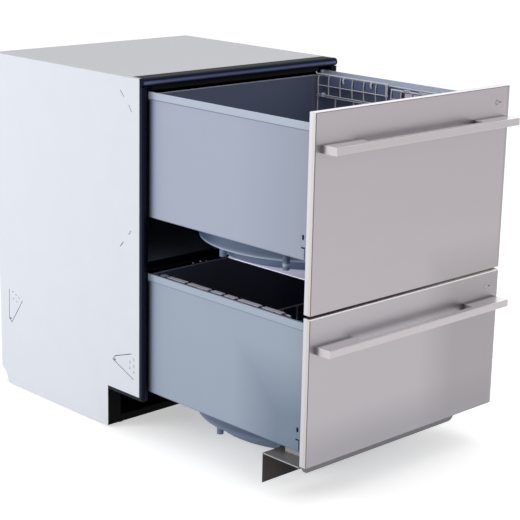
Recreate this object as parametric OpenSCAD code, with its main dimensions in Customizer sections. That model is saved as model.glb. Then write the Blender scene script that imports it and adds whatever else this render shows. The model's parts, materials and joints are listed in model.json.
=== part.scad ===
// Two-drawer dishwasher for building into a kitchen cabinet, drawn with both drawers open.
// Units: mm. X runs to the right seen from the front, the front faces -Y, Z is up from the floor.
// The origin is on the floor, under the middle of the whole appliance as drawn.

/* [Case] */
// Width over the side panels
case_w = 599; // [580:1:640]
// Height from the floor to the top panel
case_h = 820; // [816:1:870]
// Depth from the front edge of the side panels to their back edge
case_d = 536; // [530:1:600]
// Thickness of the sheet steel of the case
sheet_t = 1; // [0.8:0.1:1.4]
// Width of the folds along the edges of the case panels
fold_w = 12; // [8:1:14]
// Height of the side panels' lower edge above the floor
side_clear = 3; // [2:0.5:5]
// Height of the toe recess
recess_h = 102; // [100:1:110]
// Depth of the toe recess
recess_d = 112; // [108:1:125]
// Depth of the notch for hoses at the back
notch_d = 30; // [26:1:40]
// Height of the notch for hoses at the back
notch_h = 42; // [40:1:60]
// Width of a front edge trim
trim_w = 17.5; // [15:0.5:18.5]
// How far the front edge trims stand in front of the side panels
trim_d = 12; // [10:0.5:13]
// Height of the top trim
top_trim_h = 18; // [16:0.5:20]
// Height of the rail between the two drawers
mid_rail_h = 14; // [10:0.5:15]

/* [Drawers] */
// Space between the lower tub's rim and the upper tub's skirt, for the lid and the motor
deck_space = 127.5; // [127.5:0.5:140]
// Distance from the top of the case to the upper tub's rim
lid_space = 28.5; // [27:0.5:32]
// Height of the lower tub's skirt above the floor
lower_tub_z = 115; // [115:1:118]
// Wall thickness of a tub
tub_t = 3; // [2.5:0.1:3.5]
// Clearance between the case's side and the tub's skirt
tub_side_gap = 21.5; // [21.5:0.5:24]
// Width of the channel between a tub's skirt and its basin, where the runner lies
channel_w = 22; // [22:0.5:26]
// Distance from the closed tub's back wall to the back of the case
tub_rear_gap = 35; // [33:1:50]
// Depth of the space in front of the basin for the controls
controls_d = 23; // [22:0.5:30]
// Corner radius of the basin
basin_r = 25; // [20:1:27]
// Height of the band along the edge of the rim
rim_band_h = 15; // [12:1:20]
// Depth of the gutter behind the rim's lip, in which the lid's gasket lands
gutter_d = 9; // [6:0.5:10]
// How far the rim stands out from the skirt
rim_out = 2; // [1:0.5:2.5]
// Depth of the round sump bowl below the skirt's lower edge
bowl_h = 61; // [55:1:62]
// How far a drawer is open as drawn, which is its full travel
drawer_open = 489; // [440:1:495]
// Gap between the closed front panel's back and the front edge of the side panels
drawer_stop = 15; // [14.5:0.5:18]

/* [Front panels] */
// Thickness of a front panel
front_t = 18.6; // [16:0.2:24]
// Thickness of the stainless skin
skin_t = 1.2; // [0.8:0.1:1.5]
// Distance of a front panel's edge from the case's side
front_inset = 1; // [0.5:0.5:3]
// Distance from the top of the case to the upper front panel's top
front_top_gap = 2.8; // [2:0.2:5]
// How far the lower front panel's top stands above its tub's rim
lower_front_rise = 19.3; // [15:0.1:21]
// Height of the lower front panel's lower edge above the floor
lower_front_z = 95.8; // [94:0.2:100]
// Gap between the two front panels
front_gap = 6.4; // [4:0.2:8]
// Corner radius of a front panel's vertical edges
front_r = 2; // [1:0.5:4]

/* [Handles] */
// Side of the square handle bar
bar_s = 16; // [12:0.5:20]
// Distance of the handle's end from the front panel's side edge
handle_inset = 15.5; // [10:0.5:40]
// How far a handle stands out from the front panel
handle_out = 42.4; // [36:0.2:50]
// Length of the solid end that joins the bar to the panel
handle_end_l = 105; // [30:1:140]
// Distance from the upper front panel's top to its handle's middle
upper_handle_drop = 71; // [50:1:110]
// Distance from the lower front panel's top to its handle's middle
lower_handle_drop = 66; // [50:1:110]
// Radius of the start button
button_r = 6.5; // [5:0.5:8]
// Distance from the front panel's side edge to the start button's middle
button_side = 42; // [35:1:60]
// Distance from the front panel's top to the start button's middle
button_drop = 33; // [20:1:45]

/* [Kick plate] */
// Clearance between the kick plate and the floor
kick_clear = 27; // [20:1:40]
// Distance of the kick plate behind the lower front panel's back
kick_back = 104; // [100:1:108]
// Distance of the shelf's lip behind the lower front panel's back
lip_back = 42; // [30:1:60]
// How far the lip hangs below the shelf
lip_drop = 44; // [30:1:50]
// Distance of the lip's ends from the case's side
lip_inset = 53; // [30:1:80]
// Thickness of the kick plate and its shelf
kick_t = 2; // [1:0.2:2.4]

/* [Wash parts] */
// Length of the spray arm from its axle to its tip
arm_l = 215; // [150:1:228]
// Width of the spray arm
arm_w = 46; // [30:1:60]
// Thickness of the spray arm
arm_t = 12; // [8:0.5:13]
// Radius of the spray arm's axle
axle_r = 8; // [6:0.5:12]
// Radius of the wash motor's housing
motor_r = 82; // [70:1:86]
// Height of the wash motor's housing
motor_h = 30; // [26:1:32]
// Radius of the pump rotor's magnet
magnet_r = 52; // [35:1:58]
// Thickness of the filter plate
filter_t = 3; // [2:0.5:4]
// Number of slots in the filter plate
filter_slots = 36; // [12:4:48]

/* [Racks] */
// Thickness of the coated rack wire
wire = 4; // [3:0.5:5]
// Number of wires across the basket
wires_across = 9; // [5:1:12]
// Number of wires along the basket
wires_along = 11; // [7:2:15]
// Height of the plate tines
tine_h = 78; // [50:1:85]
// Distance from a tub's rim down to the top of the basket's sides
rim_to_basket = 54.5; // [54:0.5:70]
// Height of the basket's front and back
basket_end_h = 93; // [60:1:95]
// Height of a folded cup rack above its pivot
cup_rack_h = 50; // [40:1:50]
// Height of the upper drawer's left cup rack, which stays below the rim (mm)
upper_left_rack_h = 34; // [30:1:36]
// Height of the upper drawer's front cup rack above its pivot
front_rack_h = 40; // [34:1:50]
// Distance between a cup rack's uprights
cup_pitch = 40; // [30:1:60]

/* [Lid and runners] */
// How far a lid comes down to seal its tub
lid_drop = 8; // [6:0.5:8]
// Thickness of a lid
lid_t = 6; // [4:0.5:6]
// Radius of a lid's guide pin
guide_r = 4; // [3:0.5:5]
// Thickness of the runners' steel
rail_t = 2; // [1.5:0.1:2.2]
// Height of the runner's inner nose
nose_h = 16; // [12:0.5:17]

/* [Base] */
// Thickness of the base pan
pan_t = 1.5; // [1:0.1:2]
// Radius of a levelling foot
foot_r = 20; // [15:1:22]
// Radius of a levelling foot's stud
stud_r = 5; // [4:0.5:6]
// Outer radius of the water inlet's thread
inlet_r = 13.2; // [10:0.1:13.2]
// Outer radius of the drain spigot
spigot_r = 9.5; // [8:0.5:12]

/* [Hidden] */
$fn = 64;

// Clearances
seat = 0.3;         // between pieces that are screwed or clipped together
run = 0.1;          // radial, between a pin and its bore
slide = 0.4;        // between the members of a runner
cut = 1;            // how far a cutting shape stands out of what it cuts

// Places in the case, measured from the front edge of the side panels
half_w = case_w / 2;
inner_half_w = half_w - sheet_t;
side_top = case_h - sheet_t - seat;
front_reach = drawer_stop + drawer_open + front_t + handle_out;
case_front_y = (front_reach - case_d) / 2;
back_y = case_d - 2 * sheet_t - seat;
strip_h = 7.5;

// Levels and sizes of the drawers, measured from the lower edge of a tub's skirt
tub_h = (case_h - lid_space - lower_tub_z - deck_space) / 2;
upper_tub_z = case_h - lid_space - tub_h;
tub_half_w = half_w - tub_side_gap;
basin_half_w = tub_half_w - channel_w;
tub_len = case_d + drawer_stop - tub_rear_gap;
front_seat = 0.3;
lip_t = 3;
button_l = 12;
basin_front = controls_d;
basin_len = tub_len - basin_front;
bowl_y = basin_front + basin_len / 2;
floor_z = 3;
floor_top = floor_z + tub_t;
rim_z = tub_h - gutter_d;
rim_rear_out = 3;
bowl_over = 9.5;      // how far the bowl's circle passes the basin's front and back
bowl_rim_r = basin_len / 2 + bowl_over;
bowl_mid_r = bowl_rim_r - 7;
bowl_low_r = bowl_rim_r - 42;
bowl_draft = 9;       // how much wider the bowl's lower step is at its top
bowl_step_y = 7.5;    // how far the lower step's middle stands forward
bowl_mid_z = -37;
bowl_cone = (bowl_rim_r + 1 - bowl_mid_r) / (floor_top + 1 - bowl_mid_z);
peg_r = 7.5;
pegs = [[bowl_y - 150.5, bowl_h - 13.5], [bowl_y + 39.5, bowl_h - 3.5]];
tray_t = 2;
tray_half_w = bowl_low_r + 3;
tray_len = bowl_y + 44;
tray_lip_h = 22;
upper_front_top = case_h - front_top_gap;
lower_front_top = lower_tub_z + tub_h + lower_front_rise;
upper_front_h = upper_front_top - lower_front_top - front_gap;
lower_front_h = lower_front_top - lower_front_z;
front_half_w = half_w - front_inset;
handle_half_l = front_half_w - handle_inset;
button_x = front_half_w - button_side;
bar_y = -front_t - handle_out;
bar_edge_r = 1.5;

// Parts in the basin
filter_z = -21;
axle_top = 4;
arm_z = -6;
impeller_r = 38;
shaft_r = 5;
basket_z = 20;
basket_side_h = tub_h - rim_to_basket - basket_z;
weld = 0.1;
tine_pitch = 30;
tine_end = 40;
tine_r = 1.8;
basket_half_w = basin_half_w - tub_t - 6;
basket_y0 = basin_front + tub_t + 10;
basket_y1 = tub_len - tub_t - 10;
pivot_z = basket_z + basket_side_h + seat;
pivot_x = basket_half_w - wire - 3;
rack_gap = 4;
rack_split = 0.44;
dispenser_w = 130;
dispenser_h = 96;
dispenser_drop = 96.5;
dispenser_z = tub_h - dispenser_drop;
module_h = 72.5;
module_w = 90;
cup_w = 60;
hinge_z = dispenser_z - cup_w / 2 - 6;
hinge_y = basin_front + tub_t + 6;

// Runners: the height of the nose's middle, and the heights of what wraps it
rail_mid_z = 25;
mid_rail_half = nose_h / 2 + slide + rail_t;
case_rail_half = mid_rail_half + slide + rail_t;
nose_tip_x = basin_half_w + 8.6;
middle_web_x = nose_tip_x + slide;
case_web_x = middle_web_x + rail_t + slide;
bracket_drop = 25;
bracket_h = 56;
rail_y0 = 12;

// Lids
lid_half_w = tub_half_w + 6;
gasket_t = 6;
gasket_out = 10;
guide_x = tub_half_w - 3;
guide_y = [60, case_d - 90];
spindle_r = 2.5;
actuator_l = 50;
actuator_gap = 1.5;
bridge_w = 10;
bridge_t = 3;
screw_end = 0.5;
spindle_y = (guide_y[0] + guide_y[1]) / 2;
lid_play = 1.7;

module in_case() {
    translate([0, case_front_y, 0]) children();
}

// A drawer's own frame: y from the back of its front panel, z from the skirt's lower edge
module in_drawer(level) {
    translate([0, case_front_y - drawer_stop - drawer_open, level]) children();
}

// Extrudes a (y, z) profile along X from x0 over len
module along_x(x0, len) {
    translate([x0, 0, 0]) rotate([90, 0, 90]) linear_extrude(len) children();
}

// Extrudes an (x, z) profile along Y from y0 over len
module along_y(y0, len) {
    translate([0, y0 + len, 0]) rotate([90, 0, 0]) linear_extrude(len) children();
}

module both_sides() {
    children();
    mirror([1, 0, 0]) children();
}

module block(x0, x1, y0, y1, z0, z1) {
    translate([x0, y0, z0]) cube([x1 - x0, y1 - y0, z1 - z0]);
}

module rounded_rect(x0, x1, y0, y1, r) {
    translate([x0 + r, y0]) square([x1 - x0 - 2 * r, y1 - y0]);
    translate([x0, y0 + r]) square([x1 - x0, y1 - y0 - 2 * r]);
    for (x = [x0 + r, x1 - r], y = [y0 + r, y1 - r]) translate([x, y]) circle(r);
}

// A straight slit from a to b
module slit(a, b, w) {
    d = b - a;
    translate(a) rotate(atan2(d[1], d[0])) translate([0, -w / 2]) square([norm(d), w]);
}

// ---------------------------------------------------------------- case

// The (y, z) outline of a side panel, with the toe recess and the hose notch
module side_outline() {
    polygon([[0, side_top], [0, recess_h], [recess_d, recess_h], [recess_d, side_clear],
        [case_d - notch_d, side_clear], [case_d - notch_d + 5, 15], [case_d - 17, 29],
        [case_d - 4, notch_h - 6], [case_d, notch_h], [case_d, side_top]]);
}

slit_w = 1.6;
tab_hole_r = 2.5;
front_tab_hole = [85.5, 171];
rear_tab_hole = [case_d - 43, 172];

// Bend-out tabs that fasten the case to the cabinet, with their perforated bend lines
module tab_cuts() {
    slit([26, 199], [84, 180], slit_w);
    slit([84, 180], [93, 170], slit_w);
    slit([93, 170], [19, 140], slit_w);
    for (z = [154, 168, 184]) slit([18, z], [18, z + 7], slit_w);
    for (z = [161, 175]) slit([32, z], [32, z + 7], slit_w);
    translate(front_tab_hole) circle(tab_hole_r);
    translate([case_d, 0]) {
        slit([-39, 246], [-37, 171], slit_w);
        slit([-37, 171], [-47, 163], slit_w);
        slit([-47, 163], [-93, 227], slit_w);
        for (d = [0, 13, 26]) slit([-51 - d, 243 - d * 0.4], [-56 - d, 241 - d * 0.4], slit_w);
        for (d = [0, 13]) slit([-53 - d, 226 - d * 0.4], [-58 - d, 224 - d * 0.4], slit_w);
    }
    translate(rear_tab_hole) circle(tab_hole_r);
}

// Short slanted hooks near the front edge
module hook_cuts() {
    slit([64, case_h - 32], [52, case_h - 45], slit_w);
    slit([36, case_h - 60], [26, case_h - 75], slit_w);
    slit([28, mid_rail_z + 83], [36, mid_rail_z + 73], slit_w);
    slit([54, mid_rail_z + 53], [66, mid_rail_z + 41], slit_w);
}

module side_panel() {
    along_x(inner_half_w, sheet_t) difference() {
        side_outline();
        tab_cuts();
        hook_cuts();
    }
    block(half_w - fold_w, inner_half_w, 0, sheet_t, recess_h, side_top);
    block(half_w - fold_w, inner_half_w, case_d - sheet_t, case_d, notch_h, side_top);
}

module side_panel_right() {
    color("ghostwhite") in_case() side_panel();
}

module side_panel_left() {
    color("ghostwhite") in_case() mirror([1, 0, 0]) side_panel();
}

module top_panel() {
    color("lightgray") in_case() {
        block(-half_w, half_w, 0, case_d, case_h - sheet_t, case_h);
        both_sides() block(inner_half_w - seat - sheet_t, inner_half_w - seat,
            2 * sheet_t, back_y - seat, case_h - sheet_t - fold_w, case_h - sheet_t);
    }
}

module back_panel() {
    color("gainsboro") in_case() difference() {
        block(-inner_half_w + seat, inner_half_w - seat, back_y, back_y + sheet_t,
            notch_h + seat, side_top);
        for (z = [case_h * 0.35, case_h * 0.75]) along_y(back_y - cut, sheet_t + 2 * cut)
            translate([0, z]) rounded_rect(-90, 90, -8, 8, 6);
    }
}

inlet_x = -200;
drain_x = -120;
cable_x = 210;
port_z = 22;
cable_r = 10;
pan_z = side_clear + 1;
pan_rear_y = case_d - notch_d;
foot_xy = [[half_w - 44, recess_d + 26], [half_w - 44, pan_rear_y - 28]];

module base_pan() {
    color("dimgray") in_case() difference() {
        union() {
            block(-inner_half_w + seat, inner_half_w - seat, recess_d + 2 + seat, pan_rear_y,
                pan_z, pan_z + pan_t);
            both_sides() block(inner_half_w - seat - pan_t, inner_half_w - seat,
                recess_d + 2 + seat, pan_rear_y, pan_z, notch_h);
            block(-inner_half_w + seat, inner_half_w - seat, pan_rear_y - pan_t, pan_rear_y,
                pan_z, notch_h);
            block(-inner_half_w + seat, inner_half_w - seat, pan_rear_y - pan_t,
                back_y + sheet_t, notch_h - pan_t, notch_h);
        }
        both_sides() for (p = foot_xy) translate([p[0], p[1], 0])
            cylinder(h = notch_h, r = stud_r + run);
        along_y(pan_rear_y - pan_t - cut, pan_t + 2 * cut) {
            translate([inlet_x, port_z]) circle(inlet_r + seat);
            translate([drain_x, port_z]) circle(spigot_r + seat);
            translate([cable_x, port_z]) circle(cable_r);
        }
    }
}

// Closes the toe recess at the back, and leaves room for the sump bowl to pass
module recess_wall() {
    low_h = lower_tub_z - bowl_h - seat - motor_h - 3;
    color("black") in_case() {
        block(-inner_half_w + seat, inner_half_w - seat, recess_d, recess_d + 2, pan_z, low_h);
        both_sides() block(basin_half_w + 6, inner_half_w - seat, recess_d, recess_d + 2,
            pan_z, recess_h - seat);
    }
}

module side_trims() {
    x1 = half_w - trim_w;
    color("midnightblue") in_case() both_sides() {
        translate([0, 0, recess_h - strip_h])
            linear_extrude(case_h - top_trim_h - seat - recess_h + strip_h)
            polygon([[half_w, -seat], [half_w, -trim_d + 3], [half_w - 3, -trim_d],
                [half_w - 9, -trim_d], [half_w - 12, -trim_d + 2.5], [x1, -trim_d + 2.5],
                [x1, -seat]]);
        block(half_w - 4, half_w, -seat, recess_d - seat, recess_h - strip_h, recess_h - seat);
    }
}

module top_trim() {
    r = top_trim_h / 2;
    color("midnightblue") in_case() along_x(-half_w, case_w) {
        intersection() {
            translate([-trim_d + r, case_h - r]) circle(r);
            translate([-trim_d, case_h - top_trim_h]) square([r + 1, top_trim_h]);
        }
        translate([-trim_d + r, case_h - top_trim_h]) square([trim_d - r - seat, top_trim_h]);
    }
}

mid_rail_rise = 9.5;
mid_rail_z = lower_tub_z + tub_h + mid_rail_rise;

module mid_rail() {
    color("midnightblue") in_case() {
        block(-half_w + trim_w + seat, half_w - trim_w - seat, -trim_d + 2, 2,
            mid_rail_z, mid_rail_z + mid_rail_h);
        both_sides() block(half_w - trim_w - 2, inner_half_w - seat, sheet_t + seat,
            lid_y0 - seat, mid_rail_z, mid_rail_z + mid_rail_h);
    }
}

// ------------------------------------------------------------- runners

// Channel that is open towards the tub, as an (x, z) profile round the runner's middle
module rail_channel(x0, web_x, half_h) {
    translate([web_x, -half_h]) square([rail_t, 2 * half_h]);
    translate([x0, half_h - rail_t]) square([web_x - x0 + cut, rail_t]);
    translate([x0, -half_h]) square([web_x - x0 + cut, rail_t]);
}

module case_rails(level) {
    low = rail_mid_z - case_rail_half - bracket_drop;
    color("lightsteelblue") in_case() translate([0, 0, level]) both_sides() {
        along_y(rail_y0, case_d - tub_rear_gap - rail_y0) {
            translate([0, rail_mid_z])
                rail_channel(basin_half_w + 4, case_web_x, case_rail_half);
            translate([case_web_x, low])
                square([rail_t, rail_mid_z + case_rail_half - low]);
            translate([case_web_x, low]) square([inner_half_w - seat - case_web_x, rail_t]);
            translate([inner_half_w - seat - rail_t, low]) square([rail_t, bracket_h]);
        }
    }
}

module middle_rails(level) {
    color("silver") in_case() translate([0, -drawer_open / 2, level]) both_sides()
        along_y(rail_y0 + 2, case_d - tub_rear_gap - rail_y0 - 4) translate([0, rail_mid_z])
        rail_channel(basin_half_w + 2.4, middle_web_x, mid_rail_half);
}

module tub_rails(level) {
    color("silver") in_drawer(level) both_sides()
        along_y(basin_front + 2, basin_len - 4) translate([basin_half_w + seat, rail_mid_z]) {
            translate([0, -nose_h / 2 - 5]) square([1.7, nose_h + 10]);
            translate([0, -nose_h / 2]) square([nose_tip_x - basin_half_w - seat, nose_h]);
        }
}

// ---------------------------------------------------------------- lids

module lid_hanger_set(z_top, x_out) {
    both_sides() for (y = guide_y) {
        block(guide_x - 9, x_out, y - 20, y + 20, z_top - rail_t, z_top);
        translate([guide_x, y, z_top - rail_t - 17.5]) cylinder(h = 17.5 + rail_t / 2, r = guide_r);
    }
}

upper_hanger_z = case_h - sheet_t - seat;
hanger_rise = 24.7;
lower_hanger_z = lower_tub_z + tub_h + hanger_rise;

module lid_hangers() {
    color("gray") in_case() {
        lid_hanger_set(upper_hanger_z, inner_half_w - 2 * seat - sheet_t);
        lid_hanger_set(lower_hanger_z, inner_half_w - seat);
    }
}

lid_y0 = 3;
lid_y1 = case_d - tub_rear_gap + 5;

module lid(hanger_z) {
    z0 = hanger_z - rail_t - lid_t - lid_play;
    color("slategray") in_case() difference() {
        block(-lid_half_w, lid_half_w, lid_y0, lid_y1, z0, z0 + lid_t);
        both_sides() for (y = guide_y) translate([guide_x, y, z0 - cut])
            cylinder(h = lid_t + 2 * cut, r = guide_r + run);
        both_sides() translate([guide_x, spindle_y, z0 - cut])
            cylinder(h = lid_t + 2 * cut, r = spindle_r + run);
    }
}

// A gear motor beside the lid, with the lead screw that draws the lid down
module lid_actuator_pair(z_top, x_out) {
    z1 = z_top - rail_t - lid_t - lid_play - lid_drop - screw_end;
    z0 = z1 - bridge_t;
    both_sides() {
        block(lid_half_w + actuator_gap, x_out, spindle_y - actuator_l / 2,
            spindle_y + actuator_l / 2, z0, z_top);
        block(guide_x - bridge_w * 0.4, lid_half_w + actuator_gap + 0.5,
            spindle_y - bridge_w / 2, spindle_y + bridge_w / 2, z0, z1);
        translate([guide_x, spindle_y, z1 - cut])
            cylinder(h = z_top - rail_t - z1 + cut, r = spindle_r);
    }
}

module lid_actuators() {
    color("dimgray") in_case() {
        lid_actuator_pair(upper_hanger_z, inner_half_w - 2 * seat - sheet_t);
        lid_actuator_pair(lower_hanger_z, inner_half_w - seat);
    }
}

module lid_gasket(hanger_z, level) {
    z1 = hanger_z - rail_t - lid_t - lid_play;
    z0 = level + rim_z + lid_drop + seat;
    x1 = basin_half_w + gasket_out;
    color("black") in_case() translate([0, 0, z0]) linear_extrude(z1 - z0) difference() {
        rounded_rect(-x1, x1, lid_y0, lid_y1 - 1.5, basin_r);
        rounded_rect(-x1 + gasket_t, x1 - gasket_t, lid_y0 + gasket_t,
            lid_y1 - 1.5 - gasket_t + 1, basin_r - gasket_t);
    }
}

// ---------------------------------------------------------------- base

stud_h = 28;
nut_h = 5;

module levelling_feet() {
    color("darkslategray") in_case() both_sides() for (p = foot_xy) translate([p[0], p[1], 0]) {
        cylinder(h = pan_z - seat, r = foot_r);
        cylinder(h = stud_h, r = stud_r);
        translate([0, 0, pan_z + pan_t + seat]) cylinder(h = nut_h, r = stud_r * 1.8, $fn = 6);
    }
}

port_gap = 1;
inlet_l = 17;
spigot_l = 25;

// The hose's thread starts just outside the pan, on a slightly thinner neck
module inlet_valve() {
    color("lightyellow") in_case() {
        difference() {
            union() {
                along_y(pan_rear_y - 20, 20 + port_gap + 1) translate([inlet_x, port_z])
                    circle(inlet_r - 0.7);
                along_y(pan_rear_y + port_gap, inlet_l) translate([inlet_x, port_z])
                    circle(inlet_r);
                block(inlet_x - 17, inlet_x + 17, pan_rear_y - pan_t - seat - 45,
                    pan_rear_y - pan_t - seat, pan_z + pan_t + seat, notch_h - pan_t - seat);
            }
            along_y(pan_rear_y - 10, 40) translate([inlet_x, port_z]) circle(inlet_r - 4);
        }
    }
}

module drain_outlet() {
    color("dimgray") in_case() difference() {
        union() {
            along_y(pan_rear_y - 24, 24 + port_gap + 1) translate([drain_x, port_z])
                circle(spigot_r - 0.7);
            along_y(pan_rear_y + port_gap, spigot_l) translate([drain_x, port_z])
                circle(spigot_r);
            along_y(pan_rear_y - pan_t - seat - 3, 3) translate([drain_x, port_z])
                circle(spigot_r + 6);
            block(drain_x - 14, drain_x + 14, pan_rear_y - pan_t - seat - 43,
                pan_rear_y - pan_t - seat - 20, pan_z + pan_t + seat, notch_h - pan_t - seat);
        }
        along_y(pan_rear_y - 15, 45) translate([drain_x, port_z]) circle(spigot_r - 2.5);
    }
}

terminal_w = 73;
terminal_l = 90;
terminal_h = 44;
terminal_back = 60;

module terminal_box() {
    x0 = -inner_half_w + seat + pan_t + seat;
    y0 = recess_d + terminal_back;
    z0 = pan_z + pan_t + seat;
    color("darkslategray") in_case()
        block(x0, x0 + terminal_w, y0, y0 + terminal_l, z0, z0 + terminal_h);
}

// -------------------------------------------------------------- drawer

// The sump bowl as a solid, taken in by t from its outer surface: a shallow dish with a
// narrower step below it
module bowl_solid(t) {
    translate([0, bowl_y, bowl_mid_z + t])
        cylinder(h = floor_top + 1 - bowl_mid_z - t, r1 = bowl_mid_r - t + t * bowl_cone,
            r2 = bowl_rim_r + 1 - t);
    translate([0, bowl_y - bowl_step_y, -bowl_h + t])
        cylinder(h = bowl_mid_z + bowl_h + cut, r1 = bowl_low_r - t,
            r2 = bowl_low_r + bowl_draft - t);
}

module basin_outline(t) {
    rounded_rect(-basin_half_w + t, basin_half_w - t, basin_front + t, tub_len - t, basin_r - t);
}

module rim_outline(t) {
    rounded_rect(-tub_half_w - rim_out + t, tub_half_w + rim_out - t, front_seat + t,
        tub_len + rim_rear_out - t, 4);
}

// Slots and the clip's outline in the skirt, close behind the front panel
module skirt_cuts() {
    along_x(-tub_half_w - cut, 2 * tub_half_w + 2 * cut) {
        translate([24, 41]) square([6, 10]);
        translate([20.5, -1]) square([2.5, 27]);
        translate([20.5, 23]) square([11, 3.5]);
    }
}

// The lip round the rim, open at the back so that the lid's gasket can pass over it
module rim_lip() {
    difference() {
        rim_outline(0);
        rim_outline(lip_t);
        translate([-tub_half_w + 8, tub_len - 2]) square([2 * tub_half_w - 16, 20]);
    }
}

module tub(level) {
    color("lightslategray") in_drawer(level) difference() {
        union() {
            both_sides() difference() {
                block(tub_half_w - tub_t, tub_half_w, front_seat, tub_len, 0, rim_z - 1);
                skirt_cuts();
            }
            translate([0, 0, floor_z]) linear_extrude(rim_z - floor_z) basin_outline(0);
            intersection() {
                bowl_solid(0);
                translate([0, 0, -bowl_h - cut]) linear_extrude(bowl_h + floor_top)
                    basin_outline(0);
            }
            block(-tub_half_w + 1, tub_half_w - 1, front_seat, basin_front + 1, 0, tub_t);
            translate([0, 0, rim_z - tub_t]) linear_extrude(tub_t) rim_outline(1);
            translate([0, 0, tub_h - rim_band_h]) linear_extrude(rim_band_h) rim_lip();
            both_sides() for (p = pegs) translate([basin_half_w - 26, p[0], -p[1]])
                cylinder(h = p[1] + floor_z + 1, r = peg_r);
        }
        translate([0, 0, floor_top]) linear_extrude(tub_h) basin_outline(tub_t);
        intersection() {
            bowl_solid(tub_t);
            translate([0, 0, -bowl_h - cut]) linear_extrude(tub_h) basin_outline(tub_t);
        }
        translate([0, bowl_y, -bowl_h - cut]) cylinder(h = 2 * tub_t, r = shaft_r + 1);
        block(-dispenser_w / 2 + 6, dispenser_w / 2 - 6, basin_front - cut,
            basin_front + tub_t + cut, dispenser_z - dispenser_h / 2 + 6,
            dispenser_z + dispenser_h / 2 - 6);
    }
}

// Flat tray under the front of the sump bowl, turned up against the front's liner
module drip_tray(level) {
    z1 = -bowl_h - seat;
    color("lavender") in_drawer(level) {
        translate([0, 0, z1 - tray_t]) linear_extrude(tray_t) difference() {
            union() {
                rounded_rect(-tray_half_w, tray_half_w, tray_len / 2, tray_len, 12);
                translate([-tray_half_w, seat]) square([2 * tray_half_w, tray_len * 0.75]);
            }
            translate([0, bowl_y]) circle(motor_r + 4);
        }
        block(-tray_half_w, tray_half_w, seat, seat + tray_t, z1 - tray_t, z1 + tray_lip_h);
    }
}

module front_panel(level, top, h) {
    z1 = top - level;
    color("silver") in_drawer(level) difference() {
        translate([0, 0, z1 - h]) linear_extrude(h)
            rounded_rect(-front_half_w, front_half_w, -front_t, 0, front_r);
        block(-front_half_w + skin_t, front_half_w - skin_t, -front_t + skin_t, cut,
            z1 - h + skin_t, z1 - skin_t);
        along_y(-front_t - cut, front_t) translate([button_x, z1 - button_drop])
            circle(button_r + run);
    }
}

module front_liner(level, top, h) {
    z1 = top - level - skin_t - seat;
    z0 = top - h - level + skin_t + seat;
    x1 = front_half_w - skin_t - seat;
    color("dimgray") in_drawer(level) {
        block(-x1, x1, -2.8, 0, z0, z1);
        block(button_x - 4, button_x + 4, -front_t + button_l + 1, -2, top - level - button_drop - 4,
            top - level - button_drop + 4);
        for (x = [-x1, -x1 / 2, -1, x1 / 2, x1 - 2])
            block(x, x + 2, -front_t + skin_t + seat, -2, z0, z1);
    }
}

// A square bar with a solid end to the panel at either side, welded and ground flush
module handle(level, top, drop) {
    z0 = top - level - drop - bar_s / 2;
    color("lightgray") in_drawer(level) {
        along_x(-handle_half_l, 2 * handle_half_l)
            rounded_rect(bar_y, bar_y + bar_s, z0, z0 + bar_s, bar_edge_r);
        both_sides() block(handle_half_l - handle_end_l, handle_half_l, bar_y + bar_s - bar_edge_r,
            -front_t, z0, z0 + bar_s);
    }
}

module start_button(level, top) {
    color("silver") in_drawer(level) along_y(-front_t - 0.4, button_l)
        translate([button_x, top - level - button_drop]) circle(button_r);
}

module control_module(level) {
    color("darkgreen") in_drawer(level)
        block(basin_half_w - module_w, basin_half_w, 4, basin_front - seat,
            tub_h - rim_band_h - 2 - module_h, tub_h - rim_band_h - 2);
}

module dispenser(level) {
    z0 = dispenser_z - dispenser_h / 2;
    z1 = dispenser_z + dispenser_h / 2;
    y_wall = basin_front + tub_t;
    y_face = y_wall + seat + 2.5;
    color("darkgray") in_drawer(level) {
        difference() {
            union() {
                block(-dispenser_w / 2, dispenser_w / 2, y_wall + seat, y_face, z0, z1);
                block(-dispenser_w / 2 + 6 + seat, dispenser_w / 2 - 6 - seat, 6, y_face - 1,
                    z0 + 6 + seat, z1 - 6 - seat);
            }
            block(-50, -50 + cup_w, 10, y_face + cut, dispenser_z - cup_w / 2,
                dispenser_z + cup_w / 2);
            along_y(y_face - 1.2, 3) translate([38, dispenser_z]) circle(15);
        }
        for (x = [-54, -50 + cup_w + 1]) block(x, x + 3, y_face - 1, hinge_y + 2,
            hinge_z - 3, hinge_z + 2);
        along_x(-53, cup_w + 6) translate([hinge_y, hinge_z]) circle(1.5);
    }
}

module dispenser_lid(level) {
    y0 = basin_front + tub_t + 4;
    color("lightsteelblue") in_drawer(level) difference() {
        union() {
            block(-50, -50 + cup_w, y0, y0 + 2.5, hinge_z + 1, dispenser_z + cup_w / 2 + 4);
            along_x(-50, cup_w) translate([hinge_y, hinge_z]) circle(2.6);
        }
        along_x(-50 - cut, cup_w + 2 * cut) translate([hinge_y, hinge_z]) circle(1.5 + 0.08);
    }
}

module wash_motor(level) {
    top = -bowl_h - seat;
    wall = 4;
    color("dimgray") in_drawer(level) translate([0, bowl_y, 0]) difference() {
        translate([0, 0, top - motor_h]) cylinder(h = motor_h, r = motor_r);
        translate([0, 0, top - motor_h + wall]) cylinder(h = motor_h - 2 * wall, r = motor_r - 28);
        translate([0, 0, top - motor_h + wall / 2]) cylinder(h = motor_h, r = shaft_r + 0.05);
    }
}

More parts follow.
